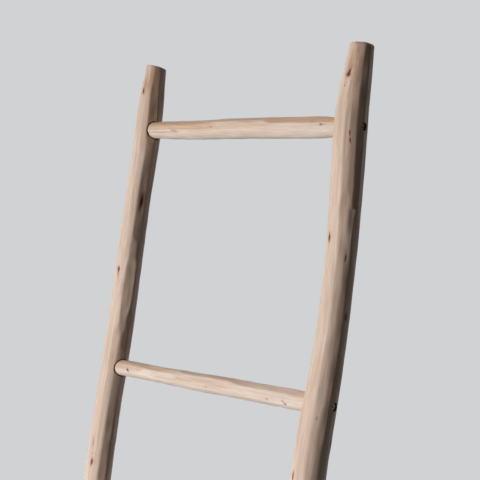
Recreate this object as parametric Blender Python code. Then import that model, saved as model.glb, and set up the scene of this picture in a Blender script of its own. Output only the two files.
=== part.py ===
"""A pole ladder rack: two peeled, naturally bent stiles, five pared rungs and ten wood screws.

The rack stands as it does in use, with both feet flat on the floor and both stile tops against
one wall. X runs along the rungs, Y towards the wall and Z up. The origin is on the floor, in the
middle of the rack's outline. All sizes are in metres.

The pieces are first laid out on an upright rack, with its Z along the stiles, and an empty
called leaning_frame then tips the whole rack back against the wall.
"""

import math
from collections import namedtuple

import bpy

# How the rack stands
LEAN = math.radians(10.4)

# The ladder
STILE_SPACING = 0.390  # between the nominal centre lines of the two stiles
FOOT_TO_FIRST_RUNG = 0.300
RUNG_SPACING = 0.350
LEFT_OVERHANG = 0.0970  # left stile, top rung's axis to the top end
RIGHT_OVERHANG = 0.1062
RUNG_NAMES = ("bottom_rung", "second_rung", "third_rung", "fourth_rung", "top_rung")

# The poles: typical radius of each one, which its stations then vary
LEFT_RADIUS = 0.0200
RIGHT_RADIUS = 0.0215
RUNG_RADIUS = 0.0140
FACETS = 12  # drawknife facets around a pole
FACET_WANDER = 0.10  # how far a ridge strays round the pole, in radians
WANDER_LENGTH = 0.55  # length of one stray to and fro
WANDER_SHIFT = 2.4  # radians between one ridge's stray and the next one's
RING_STEP = 0.048  # distance between the cross-sections along a stile
TOP_BEVEL_HEIGHT = 0.0045
TOP_BEVEL_WIDTH = 0.0028
FOOT_BEVEL = 0.0020

# The joints: a pared rung end in a blind round mortise, pulled tight by a screw from outside
CLEARANCE = 0.0003  # between any two pieces that fit together
TENON_RADIUS = 0.0122
TENON_BEVEL = 0.0010
SHOULDER_LENGTH = 0.0080  # stretch over which a rung is pared down to its tenon
SHOULDER_RINGS = 3
MORTISE_DEPTH = 0.0180
COUNTERBORE_RADIUS = 0.0052
COUNTERBORE_DEPTH = 0.0080
CUTTER_REACH = 0.0100  # how far a cutter stands clear of the stile
RUNG_STEP = 0.050  # distance between the cross-sections along a rung

# The screws
SCREW_LENGTH = 0.0500  # under the head
SCREW_RADIUS = 0.0022
HEAD_RADIUS = 0.0045
HEAD_HEIGHT = 0.0030
HEAD_ROUND = 0.0008
RECESS_DEPTH = 0.0018
RECESS_ARM = 0.0023
RECESS_WAIST = 0.0009
TIP_LENGTH = 0.0060
TIP_RADIUS = 0.0004
RECESS_ARMS = 4
PIN_SIDES = 12  # round a tenon, a hole or a screw; a multiple of the recess arms

SHARP_ANGLE = math.radians(35)  # edges steeper than this stay crisp when shaded

# Shape of a pole: share of its length, bend across, bend towards the wall, girth
Station = namedtuple("Station", "share across back girth")
LEFT_STATIONS = (
    Station(0.000, -0.0060, 0.0000, 1.10),
    Station(0.195, -0.0050, -0.0015, 1.07),
    Station(0.390, -0.0040, 0.0000, 1.05),
    Station(0.556, -0.0085, 0.0020, 1.03),
    Station(0.667, -0.0107, 0.0015, 1.01),
    Station(0.722, -0.0084, 0.0005, 1.00),
    Station(0.748, -0.0058, 0.0000, 1.02),
    Station(0.773, -0.0029, -0.0005, 1.01),
    Station(0.823, -0.0015, -0.0011, 0.99),
    Station(0.891, -0.0021, -0.0006, 0.98),
    Station(0.919, -0.0003, 0.0002, 0.97),
    Station(0.946, -0.0006, 0.0008, 1.01),
    Station(0.963, -0.0022, 0.0012, 1.02),
    Station(0.980, -0.0037, 0.0018, 0.92),
    Station(1.000, -0.0038, 0.0028, 0.75),
)
RIGHT_STATIONS = (
    Station(0.000, 0.0020, -0.0010, 1.11),
    Station(0.166, 0.0040, 0.0000, 1.07),
    Station(0.331, 0.0020, 0.0020, 1.04),
    Station(0.497, -0.0010, 0.0010, 1.02),
    Station(0.635, 0.0015, -0.0025, 1.04),
    Station(0.702, 0.0047, -0.0040, 1.05),
    Station(0.742, 0.0088, -0.0045, 1.04),
    Station(0.777, 0.0119, -0.0030, 0.97),
    Station(0.801, 0.0123, -0.0020, 0.94),
    Station(0.834, 0.0115, -0.0010, 0.92),
    Station(0.875, 0.0081, 0.0000, 0.96),
    Station(0.919, 0.0031, -0.0005, 1.02),
    Station(0.941, 0.0004, -0.0010, 1.04),
    Station(0.952, -0.0018, -0.0005, 1.04),
    Station(0.974, -0.0003, 0.0000, 0.93),
    Station(1.000, 0.0011, 0.0000, 0.74),
)
# A rung's stations run from its left shoulder to its right one
RUNG_STATIONS = {
    "bottom_rung": (
        Station(0.00, 0.0, 0.0, 0.95),
        Station(0.30, 0.0008, -0.0006, 0.99),
        Station(0.70, -0.0005, 0.0008, 1.05),
        Station(1.00, 0.0, 0.0, 1.01),
    ),
    "second_rung": (
        Station(0.00, 0.0, 0.0, 0.99),
        Station(0.35, -0.0010, 0.0005, 1.03),
        Station(0.65, -0.0006, 0.0010, 0.97),
        Station(1.00, 0.0, 0.0, 0.93),
    ),
    "third_rung": (
        Station(0.00, 0.0, 0.0, 0.92),
        Station(0.25, 0.0005, 0.0008, 0.94),
        Station(0.60, 0.0012, 0.0, 1.02),
        Station(1.00, 0.0, 0.0, 1.04),
    ),
    "fourth_rung": (
        Station(0.00, 0.0005, 0.0, 0.87),
        Station(0.22, -0.0003, 0.0003, 0.84),
        Station(0.45, -0.0003, 0.0, 0.95),
        Station(0.65, 0.0002, 0.0, 0.94),
        Station(1.00, 0.0, 0.0, 0.98),
    ),
    "top_rung": (
        Station(0.00, 0.0, 0.0, 0.94),
        Station(0.25, -0.0010, 0.0, 1.00),
        Station(0.50, 0.0006, 0.0, 1.06),
        Station(0.75, 0.0, 0.0, 1.06),
        Station(1.00, 0.0, 0.0, 1.07),
    ),
}

Finish = namedtuple("Finish", "name colour roughness metallic")
STILE_WOOD = Finish("peeled_stile_wood", (0.52, 0.37, 0.25, 1.0), 0.62, 0.0)
RUNG_WOOD = Finish("peeled_rung_wood", (0.62, 0.47, 0.35, 1.0), 0.60, 0.0)
SCREW_STEEL = Finish("zinc_plated_steel", (0.55, 0.54, 0.50, 1.0), 0.35, 1.0)

Stile = namedtuple("Stile", "name side overhang radius stations")
LEFT = Stile("left_stile", -1, LEFT_OVERHANG, LEFT_RADIUS, LEFT_STATIONS)
RIGHT = Stile("right_stile", 1, RIGHT_OVERHANG, RIGHT_RADIUS, RIGHT_STATIONS)


def clear_scene():
    for obj in list(bpy.data.objects):
        bpy.data.objects.remove(obj, do_unlink=True)


def material(finish):
    """The finish's material, made once and then shared."""
    made = bpy.data.materials.get(finish.name)
    if made:
        return made
    made = bpy.data.materials.new(finish.name)
    made.use_nodes = True
    shader = made.node_tree.nodes["Principled BSDF"]
    shader.inputs["Base Color"].default_value = finish.colour
    shader.inputs["Roughness"].default_value = finish.roughness
    shader.inputs["Metallic"].default_value = finish.metallic
    return made


def loft(name, rings, finish):
    """A closed skin over rings of as many points each, capped flat at both ends."""
    around = len(rings[0])
    points = [point for ring in rings for point in ring]
    faces = [tuple(reversed(range(around)))]
    for ring in range(len(rings) - 1):
        low, high = ring * around, (ring + 1) * around
        for side in range(around):
            after = (side + 1) % around
            faces.append((low + side, low + after, high + after, high + side))
    faces.append(tuple(range(len(points) - around, len(points))))
    mesh = bpy.data.meshes.new(name)
    mesh.from_pydata(points, [], faces)
    mesh.shade_smooth()
    mesh.set_sharp_from_angle(angle=SHARP_ANGLE)
    obj = bpy.data.objects.new(name, mesh)
    obj.data.materials.append(material(finish))
    bpy.context.scene.collection.objects.link(obj)
    return obj


def cross_ring(x, radii, y=0.0, z=0.0, direction=1):
    """Points round an axis along X, one for each radius, seen the same way from either end."""
    ring = []
    for side, radius in enumerate(radii):
        angle = direction * 2 * math.pi * side / len(radii)
        ring.append((x, y + radius * math.cos(angle), z + radius * math.sin(angle)))
    return ring


def interpolate(stations, share):
    """The (across, back, girth) of a pole at this share of its length, on a smooth curve."""
    last = len(stations) - 1
    index = max(i for i in range(last) if i == 0 or stations[i].share <= share)
    start, end = stations[index], stations[index + 1]
    before, after = stations[max(index - 1, 0)], stations[min(index + 2, last)]
    span = end.share - start.share
    part = (share - start.share) / span
    values = []
    for field in ("across", "back", "girth"):
        a, b = getattr(start, field), getattr(end, field)
        slope_a = (b - getattr(before, field)) / (end.share - before.share) * span
        slope_b = (getattr(after, field) - a) / (after.share - start.share) * span
        values.append(
            a * (2 * part**3 - 3 * part**2 + 1)
            + slope_a * (part**3 - 2 * part**2 + part)
            + b * (3 * part**2 - 2 * part**3)
            + slope_b * (part**3 - part**2)
        )
    return values


def rung_height(index):
    return FOOT_TO_FIRST_RUNG + RUNG_SPACING * index


def stile_length(stile):
    return rung_height(len(RUNG_NAMES) - 1) + stile.overhang


def top_reach(stile):
    """How far towards the wall the back of a stile's top would stand by its stations alone."""
    height = stile_length(stile) - TOP_BEVEL_HEIGHT
    _, back, girth = interpolate(stile.stations, height / stile_length(stile))
    return (back + stile.radius * girth) * math.cos(LEAN) + height * math.sin(LEAN)


def stile_section(stile, height):
    """The centre's x and y, and the radius, of a stile at a height along it.

    The stile that would fall short of the wall bends a little further back, most at its top, so
    that both tops touch one upright plane.
    """
    share = height / stile_length(stile)
    across, back, girth = interpolate(stile.stations, share)
    short = max(top_reach(LEFT), top_reach(RIGHT)) - top_reach(stile)
    back += short / math.cos(LEAN) * share**2
    return stile.side * STILE_SPACING / 2 + across, back, stile.radius * girth


def stile_ring(stile, height, inset=0.0, level=False):
    """One faceted cross-section, square to the stile or, at the foot, level with the floor."""
    x, y, radius = stile_section(stile, height)
    ring = []
    for facet in range(FACETS):
        stray = math.sin(2 * math.pi * height / WANDER_LENGTH + WANDER_SHIFT * facet)
        angle = 2 * math.pi * facet / FACETS + FACET_WANDER * stray
        px = x + (radius - inset) * math.cos(angle)
        py = y + (radius - inset) * math.sin(angle)
        pz = height / math.cos(LEAN) + py * math.tan(LEAN) if level else height
        ring.append((px, py, pz))
    return ring


def build_stile(stile):
    length = stile_length(stile)
    steps = round(length / RING_STEP)
    rings = [
        stile_ring(stile, 0.0, inset=FOOT_BEVEL, level=True),
        stile_ring(stile, FOOT_BEVEL, level=True),
    ]
    for step in range(1, steps):
        rings.append(stile_ring(stile, length * step / steps))
    rings.append(stile_ring(stile, length - TOP_BEVEL_HEIGHT))
    rings.append(stile_ring(stile, length, inset=TOP_BEVEL_WIDTH))
    return loft(stile.name, rings, STILE_WOOD)


def joint_places(stile, index):
    """Where the joint at this rung meets the stile, as x values along the rung's axis."""
    height = rung_height(index)
    x, _, radius = stile_section(stile, height)
    inwards = -stile.side
    reach = 0.0
    for beside in (-RUNG_RADIUS, 0.0, RUNG_RADIUS):
        near_x, _, near_radius = stile_section(stile, height + beside)
        reach = max(reach, inwards * (near_x - x) + near_radius)
    return {
        "shoulder": x + inwards * (reach + CLEARANCE),
        "mortise_floor": x + inwards * (radius - MORTISE_DEPTH),
        "counterbore_floor": x - inwards * (radius - COUNTERBORE_DEPTH),
        "outside": x - inwards * radius,
    }


def cut_joint(stile, stile_object, index):
    """Cuts the mortise, the screw's way through and the counterbore as one stepped tool."""
    places = joint_places(stile, index)
    inwards = -stile.side
    profile = (
        (places["outside"] - inwards * CUTTER_REACH, COUNTERBORE_RADIUS),
        (places["counterbore_floor"], COUNTERBORE_RADIUS),
        (places["counterbore_floor"], SCREW_RADIUS + CLEARANCE),
        (places["mortise_floor"], SCREW_RADIUS + CLEARANCE),
        (places["mortise_floor"], TENON_RADIUS + CLEARANCE),
        (places["shoulder"] + inwards * CUTTER_REACH, TENON_RADIUS + CLEARANCE),
    )
    rings = [
        cross_ring(x, [radius] * PIN_SIDES, z=rung_height(index), direction=inwards)
        for x, radius in profile
    ]
    cutter = loft(f"{stile.name}_joint_cutter_{index + 1}", rings, STILE_WOOD)
    cutter.hide_render = True
    cutter.display_type = "WIRE"
    cut = stile_object.modifiers.new(f"joint_{index + 1}", "BOOLEAN")
    cut.operation = "DIFFERENCE"
    cut.solver = "EXACT"
    cut.object = cutter
    return cutter


def pilot_depth(stile, index):
    """How deep the screw's hole runs into the rung from the end of its tenon."""
    places = joint_places(stile, index)
    web = abs(places["mortise_floor"] - places["counterbore_floor"])
    return SCREW_LENGTH - web - CLEARANCE


def rung_end(stile, index):
    """Rings from the bottom of the pilot hole, out over the tenon, up to the shoulder."""
    places = joint_places(stile, index)
    inwards = -stile.side
    z = rung_height(index)
    end = places["mortise_floor"] + inwards * CLEARANCE
    deep = end + inwards * pilot_depth(stile, index)
    profile = (
        (deep, SCREW_RADIUS + CLEARANCE),
        (end, SCREW_RADIUS + CLEARANCE),
        (end, TENON_RADIUS - TENON_BEVEL),
        (end + inwards * TENON_BEVEL, TENON_RADIUS),
        (places["shoulder"], TENON_RADIUS),
    )
    return [cross_ring(x, [radius] * PIN_SIDES, z=z) for x, radius in profile]


def rung_body(name, index):
    """Rings of the rung between its two shoulders, swelling out of each one on a quarter round."""
    left = joint_places(LEFT, index)["shoulder"] + SHOULDER_LENGTH
    right = joint_places(RIGHT, index)["shoulder"] - SHOULDER_LENGTH
    steps = round((right - left) / RUNG_STEP)
    z = rung_height(index)

    def ring(x, swell):
        share = min(max((x - left) / (right - left), 0.0), 1.0)
        rise, back, girth = interpolate(RUNG_STATIONS[name], share)
        body = RUNG_RADIUS * girth
        radius = TENON_RADIUS + (body - TENON_RADIUS) * swell
        return cross_ring(x, [radius] * PIN_SIDES, y=back * swell, z=z + rise * swell)

    rings = []
    for step in range(1, SHOULDER_RINGS):
        share = step / SHOULDER_RINGS
        swell = math.sin(share * math.pi / 2)
        rings.append(ring(left - SHOULDER_LENGTH * (1 - share), swell))
    rings += [ring(left + (right - left) * step / steps, 1.0) for step in range(steps + 1)]
    for step in range(1, SHOULDER_RINGS):
        share = step / SHOULDER_RINGS
        swell = math.cos(share * math.pi / 2)
        rings.append(ring(right + SHOULDER_LENGTH * share, swell))
    return rings


def build_rung(name, index):
    rings = rung_end(LEFT, index) + rung_body(name, index) + rung_end(RIGHT, index)[::-1]
    return loft(name, rings, RUNG_WOOD)


def build_screw(stile, index):
    """A wood screw with a cross recess, its head bedded on the counterbore's floor."""
    inwards = -stile.side
    seat = joint_places(stile, index)["counterbore_floor"] - inwards * CLEARANCE
    top = seat - inwards * HEAD_HEIGHT
    recess = [
        RECESS_ARM if side % (PIN_SIDES // RECESS_ARMS) == 0 else RECESS_WAIST
        for side in range(PIN_SIDES)
    ]
    profile = (
        (top + inwards * RECESS_DEPTH, recess),
        (top, recess),
        (top, [HEAD_RADIUS - HEAD_ROUND] * PIN_SIDES),
        (top + inwards * HEAD_ROUND, [HEAD_RADIUS] * PIN_SIDES),
        (seat, [HEAD_RADIUS] * PIN_SIDES),
        (seat, [SCREW_RADIUS] * PIN_SIDES),
        (seat + inwards * (SCREW_LENGTH - TIP_LENGTH), [SCREW_RADIUS] * PIN_SIDES),
        (seat + inwards * SCREW_LENGTH, [TIP_RADIUS] * PIN_SIDES),
    )
    rings = [
        cross_ring(x, radii, z=rung_height(index), direction=inwards) for x, radii in profile
    ]
    side_name = stile.name.split("_")[0]
    return loft(f"{side_name}_screw_{index + 1}", rings, SCREW_STEEL)


def lean_on_wall(pieces, guides):
    """Tips the upright rack back, and centres its outline over the origin."""
    frame = bpy.data.objects.new("leaning_frame", None)
    bpy.context.scene.collection.objects.link(frame)
    frame.rotation_euler.x = -LEAN
    for obj in pieces + guides:
        obj.parent = frame
    bpy.context.view_layer.update()
    corners = [frame.matrix_world @ vert.co for obj in pieces for vert in obj.data.vertices]
    for axis in (0, 1):
        values = [corner[axis] for corner in corners]
        frame.location[axis] = -(min(values) + max(values)) / 2
    bpy.context.view_layer.update()


def main():
    clear_scene()
    pieces, guides = [], []
    for stile in (LEFT, RIGHT):
        stile_object = build_stile(stile)
        pieces.append(stile_object)
        for index in range(len(RUNG_NAMES)):
            guides.append(cut_joint(stile, stile_object, index))
            pieces.append(build_screw(stile, index))
    for index, name in enumerate(RUNG_NAMES):
        pieces.append(build_rung(name, index))
    lean_on_wall(pieces, guides)


main()
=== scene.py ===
"""Looks of a pole ladder rack: two drawknife-shaved stiles, five pared rungs and ten wood screws.

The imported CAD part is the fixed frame. Each stile, rung and screw is rebuilt here as a finer mesh
round the centre line and thickness of its own CAD node, and stands in that node's place. All sizes
are in metres unless a name or comment says millimetres, and all angles in degrees unless one says
radians.
"""

import logging
import math
from dataclasses import dataclass, field, replace
from enum import Enum
from functools import partial
from typing import Any, Sequence

import bpy
import numpy as np
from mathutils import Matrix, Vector
from mathutils.geometry import convex_hull_2d


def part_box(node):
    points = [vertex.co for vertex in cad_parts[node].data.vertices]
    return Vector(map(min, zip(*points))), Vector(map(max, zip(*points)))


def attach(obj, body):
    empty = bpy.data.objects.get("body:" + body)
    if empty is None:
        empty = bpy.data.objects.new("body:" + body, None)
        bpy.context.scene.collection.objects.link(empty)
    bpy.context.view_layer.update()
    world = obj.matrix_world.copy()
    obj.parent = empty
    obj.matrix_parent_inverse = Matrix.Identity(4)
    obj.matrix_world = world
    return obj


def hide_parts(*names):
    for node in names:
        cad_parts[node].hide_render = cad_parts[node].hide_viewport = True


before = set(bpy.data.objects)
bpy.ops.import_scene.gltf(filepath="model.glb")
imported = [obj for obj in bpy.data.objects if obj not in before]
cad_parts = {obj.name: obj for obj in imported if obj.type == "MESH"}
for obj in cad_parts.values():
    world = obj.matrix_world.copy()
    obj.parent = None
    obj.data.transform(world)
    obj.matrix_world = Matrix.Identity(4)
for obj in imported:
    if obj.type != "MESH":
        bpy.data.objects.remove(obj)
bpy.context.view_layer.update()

LOG = logging.getLogger("ladder_rack")
ROOT = "root"
MM = 0.001
SHARP_ANGLE = 38.0  # edges steeper than this stay crisp when shaded
CAD_TENON_RADIUS = 0.0122
LEAST_FACING = 0.3  # a flat isn't followed round a pole further than where its cosine is this
SECTION_STEP = 0.010  # between the sections that a pole's centre line is read from
RUNG_NAMES = ("bottom_rung", "second_rung", "third_rung", "fourth_rung", "top_rung")

Array = np.ndarray


class Side(Enum):
    """The two stiles, with the direction from each one towards the rungs as the value."""

    LEFT = 1
    RIGHT = -1

    @property
    def word(self) -> str:
        """The side's word in the names of the CAD nodes."""
        return self.name.lower()


class Slot(Enum):
    """The record's material slots."""

    STILE = "stile_wood"
    RUNG = "rung_wood"
    SCREW = "screw_steel"


class Surface(Enum):
    """Which finish a face of a pole takes; the value is its place in the mesh's materials."""

    SHAVED = 0
    CROSSCUT = 1
    BORED = 2


class MarkKind(Enum):
    """What a mark in the wood is.

    The value is (darkness, redness, reach of its halo in core sizes, depth of its dent in mm).
    The dark cores of checks and nicks are painted shade, inside cracks and cuts that the mesh only
    dents.
    """

    KNOT = (0.92, 0.70, 2.0, 0.35)
    PIN_KNOT = (0.70, 0.85, 1.8, 0.15)
    STAIN = (0.15, 0.35, 2.2, 0.00)
    # a crack: its dark line is painted shade
    CHECK = (0.78, 0.45, 1.4, 0.25)
    # a knife's stop cut: its dark line is painted shade
    NICK = (0.80, 0.10, 1.2, 0.30)


# --------------------------------------------------------------------------------------------
# Small helpers
# --------------------------------------------------------------------------------------------


def linear(colour: str) -> tuple[float, float, float, float]:
    """Turns an sRGB hex colour into linear light.

    Args:
        colour: six hex digits after a hash.

    Returns:
        Red, green, blue and an alpha of 1.
    """
    parts = [int(colour[i : i + 2], 16) / 255 for i in (1, 3, 5)]
    low = [c / 12.92 if c <= 0.04045 else ((c + 0.055) / 1.055) ** 2.4 for c in parts]
    return (low[0], low[1], low[2], 1.0)


def ease(share: Array) -> Array:
    """A smooth rise from 0 to 1 as share goes from 0 to 1, flat outside."""
    held = np.clip(share, 0.0, 1.0)
    return held * held * (3.0 - 2.0 * held)


def blend(a: Array, b: Array, soft: float) -> Array:
    """The lower of two surfaces, with the ridge where they meet worn round over soft."""
    near = np.clip(soft - np.abs(a - b), 0.0, None) / soft
    return np.minimum(a, b) - near * near * soft / 4.0


def add_node(
    tree: bpy.types.NodeTree,
    kind: str,
    links: dict[int | str, Any] | None = None,
    out: int | str = 0,
    **settings: Any,
) -> bpy.types.NodeSocket:
    """Adds a shader node with its settings, and fills its sockets.

    Args:
        tree: the material's or world's node tree.
        kind: the node's type name after "ShaderNode".
        links: what each input gets, by its name or number: a socket to link from, or a value.
        out: the output that is wanted, by its name or number.
        settings: the node's own properties.

    Returns:
        The wanted output of the new node.
    """
    node = tree.nodes.new("ShaderNode" + kind)
    for name, value in settings.items():
        setattr(node, name, value)
    for name, value in (links or {}).items():
        if isinstance(value, bpy.types.NodeSocket):
            tree.links.new(value, node.inputs[name])
        else:
            node.inputs[name].default_value = value
    return node.outputs[out]


def new_material(name: str) -> tuple[bpy.types.Material, bpy.types.NodeTree, bpy.types.Node]:
    """Starts a node material.

    Args:
        name: what the finish is.

    Returns:
        The material, its node tree and its Principled shader.
    """
    material = bpy.data.materials.new(name)
    material.use_nodes = True
    tree = material.node_tree
    return material, tree, tree.nodes["Principled BSDF"]


def make_object(
    name: str, points: Array, faces: Sequence[Sequence[int]], flip: bool = False
) -> bpy.types.Object:
    """Makes a smooth-shaded mesh object from points in the row frame.

    Args:
        name: the object's and the mesh's name.
        points: one row of three numbers for each vertex.
        faces: the vertex numbers of each face.
        flip: whether the faces are wound the other way round.

    Returns:
        The object, linked to the scene.
    """
    mesh = bpy.data.meshes.new(name)
    wound = [tuple(reversed(face)) for face in faces] if flip else faces
    mesh.from_pydata(points.tolist(), [], wound)
    mesh.update()
    obj = bpy.data.objects.new(name, mesh)
    bpy.context.scene.collection.objects.link(obj)
    return obj


def crisp(mesh: bpy.types.Mesh) -> None:
    """Shades a mesh smooth, apart from its steep edges."""
    mesh.shade_smooth()
    mesh.set_sharp_from_angle(angle=math.radians(SHARP_ANGLE))


def loft_faces(rings: int, around: int) -> list[tuple[int, ...]]:
    """The faces of a skin over rings that follow one another, without its two ends.

    Args:
        rings: how many rings there are.
        around: how many points each ring has.

    Returns:
        Four vertex numbers for each face.
    """
    faces = []
    for ring in range(rings - 1):
        low = ring * around
        high = low + around
        for k in range(around):
            after = (k + 1) % around
            faces.append((low + k, low + after, high + after, high + k))
    return faces


def closed_loft(name: str, rings: Sequence[Array], flip: bool = False) -> bpy.types.Object:
    """A closed skin over rings of as many points each, with a flat cap at both ends.

    Args:
        name: the object's name.
        rings: the points of each ring in the row frame, in order.
        flip: whether the rings run against their own right-hand axis.

    Returns:
        The object.
    """
    around = len(rings[0])
    points = np.concatenate(rings)
    faces: list[tuple[int, ...]] = [tuple(reversed(range(around)))]
    faces += loft_faces(len(rings), around)
    faces.append(tuple(range(len(points) - around, len(points))))
    return make_object(name, points, faces, flip)


def mesh_points(mesh: bpy.types.Mesh) -> Array:
    """Reads a mesh's vertices.

    Args:
        mesh: the mesh.

    Returns:
        One row of three numbers for each vertex.
    """
    found = np.empty(len(mesh.vertices) * 3, np.float32)
    mesh.vertices.foreach_get("co", found)
    return found.reshape(-1, 3).astype(float)


def finish_faces(
    mesh: bpy.types.Mesh, materials: Sequence[bpy.types.Material], kinds: Array
) -> None:
    """Gives a mesh its finishes.

    Args:
        mesh: the mesh that gets them.
        materials: the finishes in the order of Surface.
        kinds: the value of its Surface for each face.
    """
    for material in materials:
        mesh.materials.append(material)
    mesh.polygons.foreach_set("material_index", kinds.astype(np.int32))


def set_attribute(mesh: bpy.types.Mesh, name: str, values: Array) -> None:
    """Stores one number or vector for each vertex.

    Args:
        mesh: the mesh that gets them.
        name: the name that a material reads them by.
        values: one row for each vertex, of one or three numbers.
    """
    vector = values.ndim == 2
    kind = "FLOAT_VECTOR" if vector else "FLOAT"
    layer = mesh.attributes.get(name) or mesh.attributes.new(name, kind, "POINT")
    layer.data.foreach_set("vector" if vector else "value", values.astype(np.float32).ravel())


# --------------------------------------------------------------------------------------------
# Finishes
# --------------------------------------------------------------------------------------------


@dataclass(frozen=True)
class Grain:
    """How far one kind of streak in the wood is drawn out, in millimetres, and how fine it is."""

    width_mm: float
    length_mm: float
    detail: float
    roughness: float


@dataclass(frozen=True)
class ShavedWood:
    """Pale hardwood, peeled of its bark and shaved with a drawknife, left raw.

    The eye sees long soft streaks along the grain, rosy and straw-coloured patches, tan facets
    near the bark beside fresh pale ones, faint contour lines where a facet cuts the year rings,
    and small red-brown knots. A raw shaved face is nearly matt. On the strokes set one by one the
    tan and pale tones are also painted shade and painted light, by which way a facet is turned
    from the softbox.
    """

    name: str
    pale: str
    straw: str
    rosy: str
    tan: str  # facets that were barely cut, still coloured by the bark; also painted shade on some strokes
    fresh: str  # facets that were cut deep; also painted light on some strokes
    skin: str  # what is left of the inner bark between two strokes
    knot: str
    knot_core: str
    patches: Grain = Grain(12.0, 95.0, 2.0, 0.5)
    blush: Grain = Grain(4.5, 110.0, 3.0, 0.5)
    streaks: Grain = Grain(1.6, 55.0, 4.0, 0.6)
    fibres: Grain = Grain(0.55, 16.0, 3.0, 0.6)  # drawn coarser than real ones, so that they show
    ring_spacing_mm: float = 1.3
    ring_wander: float = 5.0
    roughness: float = 0.60
    ior: float = 1.46
    specular: float = 0.42
    streak_depth_mm: float = 0.08
    fibre_depth_mm: float = 0.04
    ragged: float = 0.28  # how uneven a knot's edge is, in core sizes

    def build(self) -> bpy.types.Material:
        """Makes the material.

        Returns:
            The material.
        """
        material, tree, shader = new_material(self.name)
        add = partial(add_node, tree)
        grain, facet, mark, kind = (
            add("Attribute", out="Vector", attribute_name=name)
            for name in ("grain", "facet", "mark", "mark_kind")
        )
        tone, skin, depth = add("SeparateXYZ", {0: facet}).node.outputs
        across, lengthways, near = add("SeparateXYZ", {0: mark}).node.outputs
        darkness, redness, reach = add("SeparateXYZ", {0: kind}).node.outputs
        noise = []
        for size in (self.patches, self.blush, self.streaks, self.fibres):
            scale = (1 / (size.width_mm * MM), 1 / (size.width_mm * MM), 1 / (size.length_mm * MM))
            place = add("VectorMath", {0: grain, 1: scale}, operation="MULTIPLY")
            links = {"Vector": place, "Scale": 1.0, "Detail": size.detail}
            noise.append(add("TexNoise", links | {"Roughness": size.roughness}))
        patches, blush, streaks, fibres = noise

        # Colours laid over one another: what by, from and to which value, how much, and colour.
        links = {"Value": streaks, "From Min": 0.30, "From Max": 0.62, "To Min": 0.45}
        broken = add("MapRange", links)
        left = add("Math", {0: skin, 1: broken}, operation="MULTIPLY")
        colour: Any = linear(self.pale)
        for value, low, high, most, over in (
            (patches, 0.38, 0.66, 1.00, self.straw),
            (blush, 0.44, 0.70, 0.75, self.rosy),
            (tone, 0.0, -1.0, 0.85, self.tan),
            (tone, 0.0, 1.0, 0.75, self.fresh),
            (left, 0.0, 1.0, 1.00, self.skin),
        ):
            links = {"Value": value, "From Min": low, "From Max": high, "To Max": most}
            share = add("MapRange", links)
            links = {"Factor": share, 6: colour, 7: linear(over)}
            colour = add("Mix", links, 2, data_type="RGBA")

        # Year rings: contour lines that follow how deep the knife went.
        per_mm = 2 * math.pi / self.ring_spacing_mm
        turns = add("Math", {0: depth, 1: per_mm}, operation="MULTIPLY")
        links = {0: patches, 1: self.ring_wander, 2: turns}
        phase = add("Math", links, operation="MULTIPLY_ADD")
        rings = add("Math", {0: phase}, operation="SINE")
        shade: Any = 1.0
        for value, low, high, dark, light in (
            (rings, -1.0, 1.0, 0.965, 1.02),
            (streaks, 0.25, 0.72, 0.80, 1.10),
            (fibres, 0.25, 0.75, 0.90, 1.06),
        ):
            links = {"Value": value, "From Min": low, "From Max": high}
            links |= {"To Min": dark, "To Max": light}
            part = add("MapRange", links, interpolation_type="SMOOTHSTEP")
            shade = add("Math", {0: part, 1: shade}, operation="MULTIPLY")
        grey = add("CombineXYZ", {"X": shade, "Y": shade, "Z": shade})
        links = {"Factor": 1.0, 6: colour, 7: grey}
        colour = add("Mix", links, 2, data_type="RGBA", blend_type="MULTIPLY")

        # Knots and checks: an oval core with an uneven edge, in a soft halo.
        at = add("CombineXYZ", {"X": across, "Y": lengthways})
        oval = add("VectorMath", {0: at}, "Value", operation="LENGTH")
        links = {"Value": fibres, "From Min": 0.3, "From Max": 0.7}
        links |= {"To Min": -self.ragged, "To Max": self.ragged}
        edge = add("MapRange", links)
        away = add("Math", {0: oval, 1: edge}, operation="ADD")
        far = add("Math", {0: away, 1: reach}, operation="DIVIDE")
        for value, full, none, strength, over in (
            (far, 0.35, 1.00, redness, self.knot),
            (away, 0.45, 1.05, darkness, self.knot_core),
        ):
            links = {"Value": value, "From Min": full, "From Max": none}
            links |= {"To Min": 1.0, "To Max": 0.0}
            seen = add("MapRange", links, interpolation_type="SMOOTHSTEP")
            held = add("Math", {0: seen, 1: near}, operation="MULTIPLY")
            share = add("Math", {0: held, 1: strength}, operation="MULTIPLY")
            links = {"Factor": share, 6: colour, 7: linear(over)}
            colour = add("Mix", links, 2, data_type="RGBA")
        tree.links.new(colour, shader.inputs["Base Color"])

        links = {"Value": streaks, "From Min": 0.2, "From Max": 0.8}
        links |= {"To Min": self.roughness - 0.07, "To Max": self.roughness + 0.08}
        tree.links.new(add("MapRange", links), shader.inputs["Roughness"])
        shader.inputs["IOR"].default_value = self.ior
        shader.inputs["Specular IOR Level"].default_value = self.specular
        bump = {"Strength": 1.0, "Distance": self.streak_depth_mm * MM, "Height": streaks}
        coarse = add("Bump", bump)
        bump = {"Strength": 0.9, "Distance": self.fibre_depth_mm * MM, "Height": fibres}
        fine = add("Bump", bump | {"Normal": coarse})
        tree.links.new(fine, shader.inputs["Normal"])
        return material


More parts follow.
